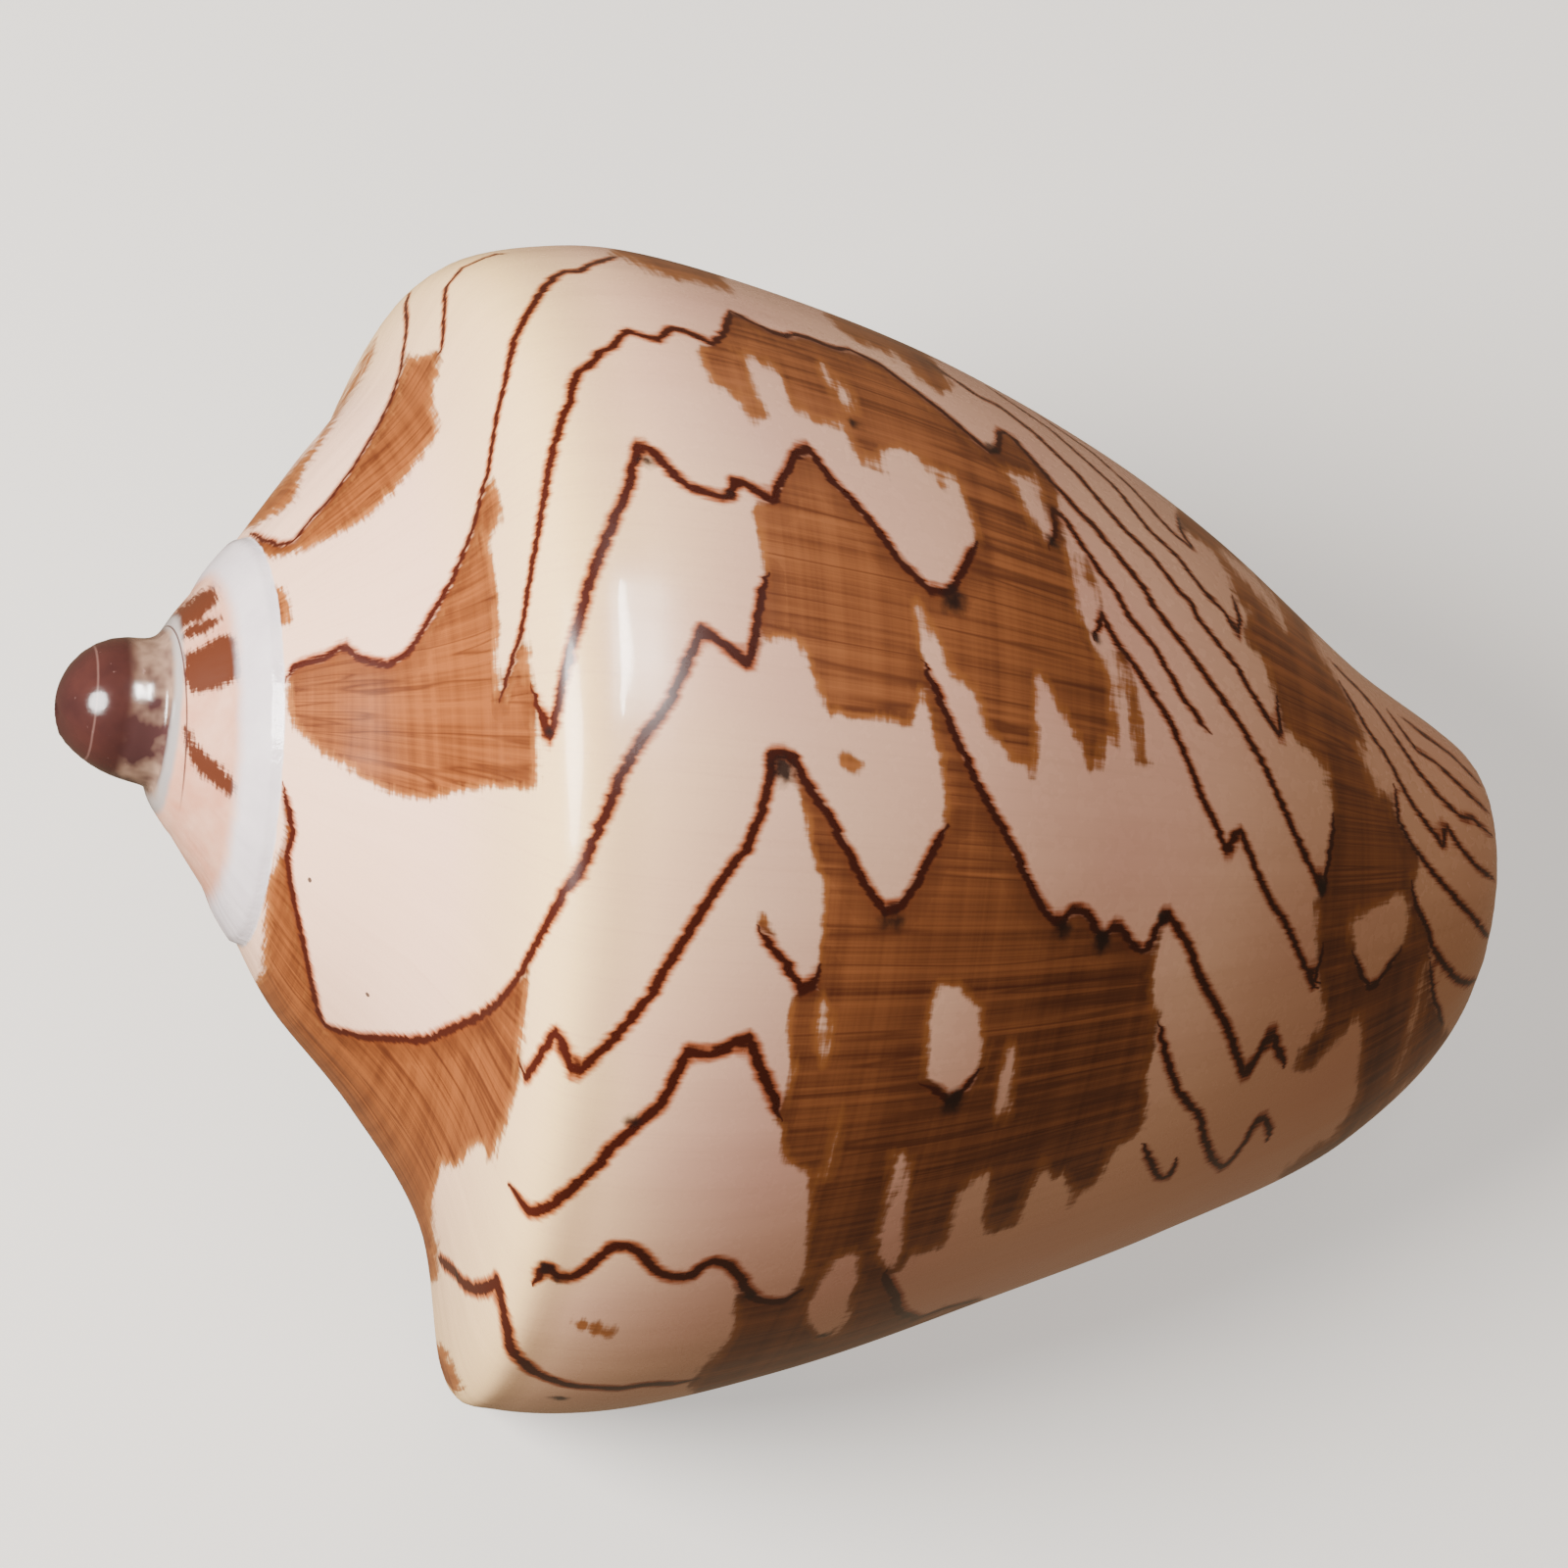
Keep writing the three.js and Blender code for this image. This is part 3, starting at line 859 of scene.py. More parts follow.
# %% Brown patches
PATCHES = {
    "tan thread": [(1139, 662), (1149, 662), (1163, 726), (1171, 782), (1161, 784)],
    "tan divider": [(1101, 566), (1108, 566), (1121, 604), (1126, 634), (1118, 636), (1113, 606)],
    "old whorl top": [
        (165, 641), (180, 625), (200, 610), (218, 601), (219, 612), (205, 628), (195, 632), (180, 645),
    ],
    "old whorl stripe": [(183, 650), (196, 639), (223, 631), (211, 643)],
    "old whorl blotch": [
        (190, 670), (211, 661), (223, 652), (235, 650), (242, 671), (244, 687), (235, 695), (215, 702),
        (196, 702), (190, 687),
    ],
    "old whorl low": [
        (190, 745), (198, 760), (211, 775), (227, 787), (238, 802), (235, 810), (219, 796), (204, 787),
        (196, 771),
    ],
    "suture blotch": [(275, 598), (289, 600), (297, 618), (296, 638), (280, 638)],
    "spire edge": [
        (246, 541), (257, 522), (323, 452), (384, 346), (377, 370), (305, 489), (303, 506), (294, 516),
        (257, 538),
    ],
    "upper slope": [
        (415, 360), (427, 365), (450, 357), (448, 377), (442, 395), (443, 414), (448, 439), (440, 454),
        (423, 477), (382, 522), (361, 537), (307, 562), (277, 570), (265, 564), (252, 549), (269, 551),
        (284, 556), (298, 554), (347, 494), (375, 454), (401, 402),
    ],
    "middle slope": [
        (500, 484), (512, 514), (510, 531), (498, 552), (509, 610), (510, 640), (506, 664), (508, 690),
        (512, 712), (537, 638), (541, 660), (541, 681), (549, 725), (547, 802), (530, 805), (498, 802),
        (440, 816), (415, 814), (394, 808), (321, 764), (305, 747), (294, 733), (292, 715), (294, 694),
        (300, 681), (332, 672), (352, 658), (367, 673), (394, 680), (415, 668), (442, 630), (459, 597),
        (480, 547), (492, 502),
    ],
    "lower slope": [
        (289, 803), (300, 848), (293, 870), (300, 922), (325, 1035), (332, 1047), (361, 1055), (402, 1061),
        (432, 1062), (486, 1039), (503, 1029), (525, 1004), (540, 981), (542, 990), (531, 1085),
        (534, 1100), (525, 1118), (501, 1189), (498, 1177), (492, 1167), (486, 1166), (473, 1185),
        (465, 1191), (452, 1186), (440, 1231), (448, 1286), (445, 1310), (400, 1300), (330, 1120),
        (240, 1020), (261, 1002), (269, 989), (268, 968), (271, 927), (269, 906), (282, 881), (292, 850),
    ],
    "top strip": [(622, 259), (640, 240), (730, 270), (748, 301), (723, 291), (665, 279), (650, 268)],
    "top band": [
        (838, 320), (870, 315), (940, 350), (973, 395), (965, 401), (955, 399), (911, 360), (886, 356),
        (865, 343),
    ],
    "upper flank": [
        (746, 317), (798, 344), (823, 344), (852, 356), (877, 362), (898, 372), (957, 416), (1011, 463),
        (1021, 440), (1032, 445), (1078, 496), (1080, 520), (1093, 570), (1101, 623), (1134, 690),
        (1139, 764), (1130, 752), (1123, 782), (1113, 789), (1103, 760), (1086, 735), (1062, 688),
        (1058, 718), (1059, 772), (1052, 794), (1044, 780), (1032, 776), (1006, 746), (998, 714),
        (988, 697), (981, 700), (971, 689), (957, 656), (934, 614), (944, 681), (966, 726), (988, 779),
        (1067, 931), (1082, 946), (1098, 927), (1112, 938), (1125, 958), (1141, 942), (1157, 966),
        (1169, 973), (1190, 930), (1176, 1000), (1182, 1040), (1173, 1090), (1167, 1152), (1135, 1173),
        (1127, 1194), (1115, 1210), (1100, 1217), (1088, 1234), (1090, 1214), (1086, 1198), (1069, 1203),
        (1066, 1184), (1036, 1250), (1009, 1260), (1002, 1243), (1008, 1216), (1009, 1195), (994, 1202),
        (980, 1218), (963, 1271), (936, 1281), (907, 1302), (909, 1318), (919, 1339), (936, 1346),
        (1000, 1325), (980, 1380), (720, 1440), (702, 1413), (744, 1368), (750, 1345), (751, 1310),
        (763, 1319), (790, 1329), (811, 1319), (821, 1293), (825, 1243), (826, 1195), (801, 1187),
        (797, 1160), (790, 1143), (801, 1118), (809, 1090), (801, 1048), (808, 1022), (815, 1010),
        (833, 1006), (836, 968), (840, 897), (831, 882), (827, 855), (817, 814), (808, 790), (812, 775),
        (818, 791), (840, 822), (890, 914), (908, 935), (927, 910), (948, 876), (966, 840), (964, 812),
        (957, 772), (941, 703), (932, 740), (915, 742), (898, 731), (873, 733), (848, 729), (836, 710),
        (823, 672), (805, 648), (780, 655), (766, 680), (781, 589), (775, 543), (766, 523), (778, 508),
        (790, 513), (800, 485), (820, 453), (848, 489), (880, 522), (907, 556), (953, 606), (972, 601),
        (996, 556), (994, 538), (980, 502), (968, 481), (957, 481), (962, 498), (932, 462), (916, 458),
        (899, 463), (906, 490), (890, 466), (892, 480), (880, 474), (863, 443), (852, 429), (830, 431),
        (806, 408), (799, 389), (790, 377), (759, 361), (775, 410), (784, 424), (775, 425), (770, 437),
        (752, 402), (732, 397), (723, 385), (711, 355), (727, 351), (740, 339),
    ],
    "tip column": [
        (1200, 515), (1205, 540), (1240, 564), (1253, 582), (1261, 614), (1276, 623), (1269, 643),
        (1275, 659), (1290, 672), (1296, 697), (1305, 720), (1309, 744), (1336, 764), (1351, 782),
        (1361, 827), (1350, 910), (1342, 920), (1345, 985), (1352, 1035), (1345, 1052), (1328, 1072),
        (1319, 1093), (1340, 1091), (1386, 1035), (1390, 1060), (1384, 1118), (1361, 1160), (1342, 1168),
        (1305, 1200), (1330, 1215), (1480, 1060), (1462, 1020), (1458, 955), (1446, 925), (1442, 905),
        (1448, 884), (1448, 870), (1436, 855), (1424, 830), (1418, 806), (1407, 813), (1393, 775),
        (1384, 757), (1394, 765), (1391, 747), (1380, 723), (1338, 651), (1330, 600), (1240, 520),
    ],
    "flank smear": [(856, 767), (866, 765), (868, 774), (877, 772), (877, 790), (870, 792), (857, 780)],
    "hook smear": [(772, 934), (782, 932), (790, 944), (792, 956), (784, 955), (774, 946)],
    "lip corner": [(440, 1368), (452, 1373), (472, 1416), (462, 1424), (440, 1410)],
    "slope smear": [(583, 1346), (632, 1356), (620, 1365), (590, 1354)],
}
print("patches:", len(PATCHES))

# %% [markdown]
# The pigment leaves cream windows open inside the patches.

# %% Cream windows
WINDOWS = {
    "edge strip": [
        (1246, 562), (1271, 576), (1296, 605), (1311, 626), (1311, 644), (1304, 637), (1289, 612),
        (1250, 573),
    ],
    "teardrop": [(838, 370), (869, 406), (874, 424), (865, 416), (844, 389)],
    "comb window": [
        (1027, 480), (1040, 487), (1052, 484), (1075, 539), (1071, 557), (1054, 531), (1036, 493),
    ],
    "small comb window": [(1098, 582), (1117, 603), (1124, 627), (1119, 647), (1111, 635)],
    "middle window": [
        (957, 1006), (976, 1005), (998, 1027), (1001, 1062), (998, 1090), (990, 1110), (980, 1115),
        (973, 1124), (963, 1110), (952, 1103), (944, 1105), (949, 1040),
    ],
    "thin window": [(1031, 1062), (1036, 1077), (1027, 1137), (1022, 1143), (1019, 1134), (1027, 1077)],
    "left window": [(838, 1016), (848, 1036), (846, 1072), (840, 1086), (834, 1070), (834, 1045)],
    "left thread": [(857, 1130), (849, 1190), (843, 1204)],
    "low window": [
        (873, 1278), (876, 1302), (869, 1322), (867, 1343), (850, 1362), (834, 1362), (824, 1346),
        (824, 1330), (834, 1312), (857, 1283),
    ],
    "low thread": [
        (914, 1176), (925, 1180), (925, 1210), (919, 1277), (912, 1294), (899, 1287), (896, 1272),
    ],
    "tip window": [
        (1380, 944), (1391, 929), (1414, 921), (1430, 911), (1438, 921), (1436, 948), (1426, 971),
        (1404, 1004), (1397, 1007), (1388, 990), (1382, 971),
    ],
    "tip thread": [(1461, 960), (1456, 1000), (1448, 1035), (1432, 1080), (1419, 1108), (1440, 1045)],
}
print("windows:", len(WINDOWS))

# %% [markdown]
# A dark line has a half width in mm, a side that counts as positive, and the places it runs through.
# Neighbours face each other with the same sign, so that no false line shows between them.

# %% Dark lines
LINES = {
    "slope one": (0.30, -1, [
        (417, 300), (414, 310), (415, 335), (409, 377), (401, 402), (388, 431), (361, 476), (334, 513),
        (317, 530), (298, 554), (284, 556), (255, 546),
    ]),
    "slope two": (0.30, 1, [(514, 259), (502, 260), (472, 273), (455, 293), (451, 356), (447, 362)]),
    "slope three": (0.38, -1, [
        (628, 262), (602, 270), (592, 277), (575, 277), (565, 284), (552, 298), (534, 327), (525, 345),
        (505, 435), (498, 481), (480, 547), (459, 597), (415, 668), (394, 680), (367, 673), (352, 658),
        (332, 672), (315, 675), (300, 681), (294, 690),
    ]),
    "slope four": (0.38, 1, [
        (746, 317), (740, 339), (728, 351), (702, 339), (684, 335), (671, 347), (640, 338), (625, 354),
        (611, 360), (605, 370), (590, 379), (584, 393), (581, 410), (572, 431), (561, 472), (532, 643),
        (511, 712),
    ]),
    "tent one": (0.44, 1, [
        (544, 704), (559, 756), (564, 744), (577, 681), (602, 593), (627, 527), (640, 502), (652, 452),
        (669, 464), (702, 497), (740, 508), (746, 506), (750, 490), (763, 495), (790, 513), (794, 497),
        (809, 468), (820, 453), (848, 489), (880, 522), (907, 556), (919, 575), (936, 589), (953, 607),
        (972, 602), (996, 556),
    ]),
    "tent two": (0.44, 1, [
        (781, 589), (765, 679), (717, 641), (682, 718), (652, 760), (632, 793), (625, 814), (592, 889),
        (577, 908), (525, 1004), (503, 1029), (486, 1039), (448, 1056), (432, 1062), (373, 1059),
        (344, 1052), (332, 1047), (325, 1035), (296, 902), (293, 872), (299, 848), (290, 806),
    ]),
    "tent three": (0.46, -1, [
        (966, 845), (948, 875), (942, 891), (919, 925), (907, 934), (890, 914), (877, 893), (844, 829),
        (817, 791), (811, 772), (798, 768), (788, 769), (782, 814), (763, 864), (748, 881), (694, 964),
        (665, 1014), (648, 1035), (632, 1054), (586, 1098), (580, 1085), (575, 1066), (567, 1053),
        (536, 1101), (531, 1086),
    ]),
    "short hook": (0.42, 1, [(775, 950), (809, 993), (817, 1012), (830, 1006), (835, 989)]),
    "tent four": (0.52, 1, [
        (794, 1139), (790, 1122), (775, 1089), (769, 1070), (762, 1058), (740, 1070), (719, 1077),
        (702, 1072), (675, 1127), (623, 1172), (607, 1193), (559, 1233), (548, 1237), (538, 1236),
        (521, 1210),
    ]),
    "tent five": (0.54, -1, [
        (815, 1318), (802, 1327), (790, 1329), (773, 1327), (763, 1318), (755, 1302), (744, 1289),
        (728, 1287), (715, 1293), (704, 1304), (690, 1304), (673, 1300), (652, 1277), (638, 1272),
        (625, 1272), (598, 1295), (584, 1304), (569, 1302), (557, 1291), (546, 1308),
    ]),
    "shoulder end": (0.66, 1, [
        (707, 1408), (690, 1412), (665, 1412), (632, 1417), (590, 1415), (569, 1410), (548, 1402),
        (523, 1381), (518, 1364), (508, 1306), (502, 1312), (486, 1316), (473, 1310), (461, 1295),
        (448, 1285),
    ]),
    "flank top": (0.34, -1, [
        (746, 318), (798, 344), (809, 341), (823, 344), (852, 356), (865, 356), (898, 372), (957, 416),
        (1011, 462), (1019, 458), (1021, 439), (1032, 445), (1102, 524), (1115, 535), (1169, 602),
        (1178, 620), (1205, 654), (1263, 735), (1290, 781), (1350, 912), (1359, 860), (1361, 835),
    ]),
    "comb one": (0.30, 1, [
        (948, 370), (998, 404), (1019, 414), (1057, 443), (1098, 483), (1148, 541), (1178, 570),
        (1203, 604), (1215, 614), (1221, 629), (1263, 681), (1275, 704), (1308, 754), (1303, 714),
    ]),
    "comb two": (0.26, -1, [
        (1010, 396), (1073, 439), (1136, 495), (1173, 541), (1200, 566), (1229, 604), (1248, 622),
        (1263, 650), (1265, 631), (1259, 612),
    ]),
    "comb three": (0.24, 1, [
        (1062, 425), (1115, 462), (1157, 500), (1198, 545), (1217, 560), (1205, 541), (1202, 527),
    ]),
    "comb four": (0.30, 1, [
        (1071, 557), (1078, 545), (1075, 520), (1086, 529), (1121, 581), (1138, 602), (1152, 629),
        (1178, 660), (1209, 714), (1232, 745),
    ]),
    "comb five": (0.32, -1, [
        (1118, 648), (1124, 627), (1140, 656), (1159, 681), (1194, 737), (1207, 764), (1230, 822),
        (1242, 843), (1254, 875), (1259, 852), (1265, 847), (1288, 902), (1298, 922), (1313, 943),
        (1340, 1006), (1350, 968),
    ]),
    "flank low": (0.42, 1, [
        (944, 681), (1000, 806), (1030, 856), (1052, 906), (1067, 931), (1082, 946), (1090, 933),
        (1098, 927), (1109, 933), (1125, 958), (1140, 942), (1157, 966), (1169, 973), (1190, 929),
        (1213, 966), (1223, 993), (1250, 1045), (1271, 1100), (1298, 1049), (1304, 1070), (1311, 1085),
    ]),
    "low hook": (0.34, -1, [
        (1184, 1047), (1186, 1066), (1202, 1114), (1225, 1139), (1230, 1164), (1236, 1181), (1248, 1193),
        (1259, 1181), (1271, 1164), (1282, 1143), (1288, 1137), (1296, 1152), (1294, 1162),
    ]),
    "window foot": (0.40, 1, [(944, 1106), (956, 1112), (969, 1125), (984, 1112), (998, 1094)]),
    "low cup": (0.30, 1, [(1167, 1170), (1182, 1202), (1192, 1202), (1200, 1185)]),
    "low edge": (0.60, 1, [(902, 1300), (919, 1339), (936, 1346), (960, 1336), (998, 1326)]),
    "tip one": (0.26, -1, [
        (1368, 698), (1399, 750), (1413, 769), (1441, 821), (1475, 867), (1472, 838), (1495, 871),
        (1509, 886), (1524, 897),
    ]),
    "tip two": (0.26, 1, [
        (1359, 676), (1388, 705), (1407, 728), (1449, 790), (1465, 809), (1495, 838), (1499, 832),
        (1522, 853),
    ]),
    "tip three": (0.24, -1, [(1418, 728), (1445, 765), (1465, 778), (1518, 828)]),
    "tip four": (0.22, 1, [(1430, 732), (1484, 773), (1510, 800)]),
    "tip five": (0.28, 1, [(1424, 806), (1427, 838), (1441, 863), (1468, 898), (1503, 936), (1519, 957)]),
    "tip six": (0.34, -1, [
        (1441, 905), (1445, 925), (1457, 948), (1461, 967), (1484, 998), (1497, 1004), (1510, 1000),
    ]),
    "tip window edge": (0.34, 1, [(1382, 975), (1388, 992), (1397, 1008), (1405, 1004), (1427, 972)]),
    "tip seven": (0.28, 1, [(1459, 986), (1463, 1021), (1472, 1044)]),
}
print("dark lines:", len(LINES))

# %% [markdown]
# Blackish smudges sit where a line is born or ends. Each has a place in the picture and a reach in mm.

# %% Smudges
SMUDGES = [
    (798, 784, 1.6), (972, 613, 1.6), (560, 748, 0.7), (660, 470, 1.1),
    (744, 505, 0.8), (873, 433, 1.0), (1013, 458, 1.0), (1075, 553, 0.9),
    (1119, 650, 0.8), (910, 938, 1.3), (1084, 950, 1.2), (1124, 962, 1.3),
    (1188, 936, 0.9), (973, 1124, 1.5), (645, 1143, 0.9), (466, 1300, 0.9),
    (557, 1294, 0.9), (573, 1306, 0.8), (569, 1427, 1.1), (840, 1363, 1.0),
    (925, 1343, 1.0), (1350, 905, 1.0), (765, 1322, 0.9), (527, 346, 0.5),
]
print("smudges:", len(SMUDGES))

# %% [markdown]
# ## From the picture to the surface
# Each marking was read off the picture, as a short list of places. The camera tells which
# point of the surface each of them is. For every point of the shell we then keep a few numbers: how
# deep it lies in a brown patch, how far it is from the nearest dark line and on which side, how
# wide that line is there, and how deep it lies in a smudge.

# %% Where each point shows
places = vertex_rows(mesh.vertices, "co").astype(float) / MM
normals = vertex_rows(mesh.vertex_normals, "vector").astype(float)
eye_mm = eye / MM
focal = PIXELS_PER_MM * DISTANCE
seen_from_eye = (places - eye_mm) @ to_world
pixels = PICTURE / 2 + focal * seen_from_eye[:, :2] / -seen_from_eye[:, 2:]
sight = eye_mm - places
sight = sight / np.linalg.norm(sight, axis=1)[:, None]
facing = (normals * sight).sum(1)
shown_points = np.flatnonzero(facing > 0)
print("points that face the camera:", len(shown_points), "of", count)

# %% [markdown]
# A patch is a closed outline. Points inside count as positive, points outside as negative, and
# the windows in a patch are taken out again.

# %% Depth in the patches
PATCH_LIMIT = 3.0
FAR = 1e9


def depth_inside(outline, spots):
    """Distance to the outline in pixels, positive inside it."""
    corners = np.array(outline, float)
    ends = np.roll(corners, -1, axis=0)
    nearest = np.full(len(spots), FAR)
    inside = np.zeros(len(spots), bool)
    for (ax, ay), (bx, by) in zip(corners, ends):
        run = np.array([bx - ax, by - ay])
        share = ((spots - (ax, ay)) @ run) / max(run @ run, TINY)
        gap = spots - (ax, ay) - np.clip(share, 0, 1)[:, None] * run
        nearest = np.minimum(nearest, np.hypot(gap[:, 0], gap[:, 1]))
        if ay != by:
            crosses = (ay > spots[:, 1]) != (by > spots[:, 1])
            inside ^= crosses & (spots[:, 0] < ax + (spots[:, 1] - ay) * run[0] / run[1])
    return np.where(inside, nearest, -nearest)


shown_pixels = pixels[shown_points]
depth = np.full(len(shown_points), -FAR)
for outline in PATCHES.values():
    depth = np.maximum(depth, depth_inside(outline, shown_pixels))
for outline in WINDOWS.values():
    depth = np.minimum(depth, -depth_inside(outline, shown_pixels))
patch = np.full(count, -PATCH_LIMIT)
patch[shown_points] = np.clip(depth / PIXELS_PER_MM, -PATCH_LIMIT, PATCH_LIMIT)
print("points in a patch:", int((patch > 0).sum()))

# %% [markdown]
# A line is dropped onto the surface along the camera's rays, in short steps. It gets thinner towards
# both of its ends.

# %% Routes on the surface
LINE_STEP = 2.5
TAPER = 1.6
TAPER_START = 0.35
faces = [list(face.vertices) for face in mesh.polygons]
surface = BVHTree.FromPolygons([Vector(place) for place in places], faces)


def drop_onto(pixel_x, pixel_y):
    """The place on the shell that the camera sees at a pixel, or None."""
    way = np.array([(pixel_x - PICTURE / 2) / focal, (pixel_y - PICTURE / 2) / focal, -1])
    way = to_world @ way
    hit = surface.ray_cast(Vector(eye_mm), Vector(way / np.linalg.norm(way)))
    return None if hit[0] is None else np.array(hit[0])


line_places = []
line_ways = []
line_widths = []
for half_width, side, route in LINES.values():
    laid = []
    for (ax, ay), (bx, by) in zip(route, route[1:]):
        steps = max(1, round(math.hypot(bx - ax, by - ay) / LINE_STEP))
        for part in range(steps):
            laid.append(drop_onto(ax + (bx - ax) * part / steps, ay + (by - ay) * part / steps))
    laid.append(drop_onto(*route[-1]))
    laid = np.array([place for place in laid if place is not None])
    gaps = np.linalg.norm(np.diff(laid, axis=0), axis=1)
    length = np.concatenate([[0], np.cumsum(gaps)])
    to_end = np.minimum(length, length[-1] - length)
    line_places.append(laid)
    line_ways.append(np.gradient(laid, axis=0) * side)
    line_widths.append(half_width * np.clip(TAPER_START + to_end / TAPER, 0, 1))
line_places = np.concatenate(line_places)
line_ways = np.concatenate(line_ways)
line_widths = np.concatenate(line_widths)
print("line points:", len(line_places))

# %% [markdown]
# A search tree finds the nearest line point for each point of the shell, and a sign tells on which
# side of the line it lies. Far from a line the width fades below zero, so that only points close
# to a line take part. A smudge is stored as a share that falls from 1 at its middle.

# %% Distance to the lines
LINE_REACH = 1.7
LINE_LIMIT = 2.6
LINE_FAR = 5.0
finder = KDTree(len(line_places))
for number, place in enumerate(line_places):
    finder.insert(place, number)
finder.balance()
line = np.full(count, LINE_FAR)
line_far = np.full(count, LINE_FAR)
line_width = np.full(count, -1.0)
for point in shown_points:
    place, number, gap = finder.find(places[point])
    side = np.dot(np.cross(normals[point], line_ways[number]), places[point] - line_places[number])
    line_far[point] = min(gap, LINE_FAR)
    line[point] = line_far[point] * (1 if side > 0 else -1)
    fade = np.clip((gap - LINE_REACH) / (LINE_LIMIT - LINE_REACH), 0, 1)
    line_width[point] = line_widths[number] * (1 - fade) - fade
smudge = np.full(count, -1.0)
for pixel_x, pixel_y, reach in SMUDGES:
    place = drop_onto(pixel_x, pixel_y)
    gap = np.linalg.norm(places[shown_points] - place, axis=1)
    smudge[shown_points] = np.maximum(smudge[shown_points], 1 - gap / reach)
print("points close to a line:", int((line_width > 0).sum()), "in a smudge:", int((smudge > 0).sum()))

# %% [markdown]
# ## The side away from the camera
# Nothing shows how the pattern goes on underneath, but the animal paints all the way round. The
# pattern runs on past the edge of the view as its own reflection, drifting along the whorl so
# that the two sides differ.

# %% Where the pattern goes out of sight
SURE_TURN = -0.28
SEEN = 0.03
corner_step = np.rint(corner_values("step")).astype(int)
corner_row = np.rint(corner_values("row")).astype(int)
at = np.full((STEPS + 1, LAST_ROW + 1), -1)
body = outer_corner & (corner_step >= -STEPS)
at[corner_step[body] + STEPS, corner_row[body]] = corner_point[body]
column_turns = np.array([
    -1 + min(step / COARSE_STEPS, 1) * COARSE_SHARE
    + max(step - COARSE_STEPS, 0) / FINE_STEPS * (1 - COARSE_SHARE)
    for step in range(STEPS + 1)
])
sure_column = int(np.argmin(np.abs(column_turns - SURE_TURN)))
rows = np.arange(1, LAST_ROW)
columns = np.arange(STEPS + 1)[:, None]
unseen = facing[at[:, rows]] <= SEEN
tops = np.where(unseen & (columns < sure_column), columns, -1).max(axis=0) + 1
bottoms = np.where(unseen & (columns > sure_column), columns, STEPS + 1).min(axis=0) - 1
print("rows carried round:", len(rows), "points out of sight:", int(unseen.sum()))

# %% [markdown]
# The edge of sight is evened out first. Each hidden point then takes a blend of the four points
# round its reflection, so that thin lines don't break up.

# %% Carry the pattern round
DRIFT_ROWS = 18
DRIFT_TURNS = 0.45
EDGE_ROWS = 8
layers = {
    "patch": patch,
    "line": line,
    "line_far": line_far,
    "line_width": line_width,
    "smudge": smudge,
}


def smooth_edge(edge_columns):
    """Turn at which each row goes out of sight, evened out along the rows."""
    ends = np.pad(column_turns[edge_columns], EDGE_ROWS, mode="edge")
    return np.convolve(ends, np.ones(2 * EDGE_ROWS + 1) / (2 * EDGE_ROWS + 1), "valid")


for edge_columns, hidden in ((tops, columns < tops), (bottoms, columns > bottoms)):
    edge_turns = smooth_edge(edge_columns)
    away = column_turns[:, None] - edge_turns
    from_column = np.interp(edge_turns - away, column_turns, np.arange(STEPS + 1))
    from_row = np.clip(rows + DRIFT_ROWS * np.abs(away) / DRIFT_TURNS, 1, LAST_ROW - 2)
    near_column = np.minimum(from_column.astype(int), STEPS - 1)
    near_row = from_row.astype(int)
    column_share = from_column - near_column
    row_share = from_row - near_row
    targets = at[:, rows][hidden]
    for values in layers.values():
        near_side = values[at[near_column, near_row]] * (1 - row_share)
        near_side = near_side + values[at[near_column, near_row + 1]] * row_share
        far_side = values[at[near_column + 1, near_row]] * (1 - row_share)
        far_side = far_side + values[at[near_column + 1, near_row + 1]] * row_share
        values[targets] = (near_side * (1 - column_share) + far_side * column_share)[hidden]
for key, values in layers.items():
    layer = mesh.attributes.new(key, "FLOAT", "POINT")
    layer.data.foreach_set("value", values.astype(np.float32))
print("stored:", list(layers))

# %% [markdown]
# ## The finish
# A volute is glossy, because the animal wipes its shell with its mantle. Under the gloss lie a
# cream ground, brown patches streaked by the lines of growth, and dark red-brown lines with an
# orange rim where the pigment spread. All of it is mixed in one material from the stored values.

# %% Colours and stored values
tree = material.node_tree
principled = tree.nodes["Principled BSDF"]


def tint(red, green, blue):
    """A screen colour from 0 to 255, as the linear light that a shader takes."""
    return tuple(((value / 255 + 0.055) / 1.055) ** 2.4 for value in (red, green, blue)) + (1,)


def stored(key):
    """A value that the shell carries."""
    node = tree.nodes.new("ShaderNodeAttribute")
    node.attribute_name = key
    return Field(tree, node.outputs["Fac"])


def blend(share, first, second):
    """The first colour where share is 0, the second where it is 1."""
    node = tree.nodes.new("ShaderNodeMix")
    node.data_type = "RGBA"
    plug(tree, node.inputs[0], share)
    for slot, colour in ((node.inputs[6], first), (node.inputs[7], second)):
        if isinstance(colour, tuple):
            slot.default_value = colour
        else:
            tree.links.new(colour, slot)
    return node.outputs[2]


turn = stored("turn")
spot = stored("spot")
sheet = stored("sheet")
patch_depth = stored("patch")
line_side = stored("line")
line_distance = stored("line_far")
half_width = stored("line_width")
smudge_share = stored("smudge")
print("values read by the material:", sum(node.type == "ATTRIBUTE" for node in tree.nodes))

# %% [markdown]
# Nothing on a shell is quite even. Soft noise in place drifts the colours, and noise laid on the
# spiral draws streaks.

# %% Noise and shares


def together(*fields):
    """Up to three numbers as one place."""
    node = tree.nodes.new("ShaderNodeCombineXYZ")
    for slot, field in zip(node.inputs, fields):
        plug(tree, slot, field)
    return node.outputs[0]


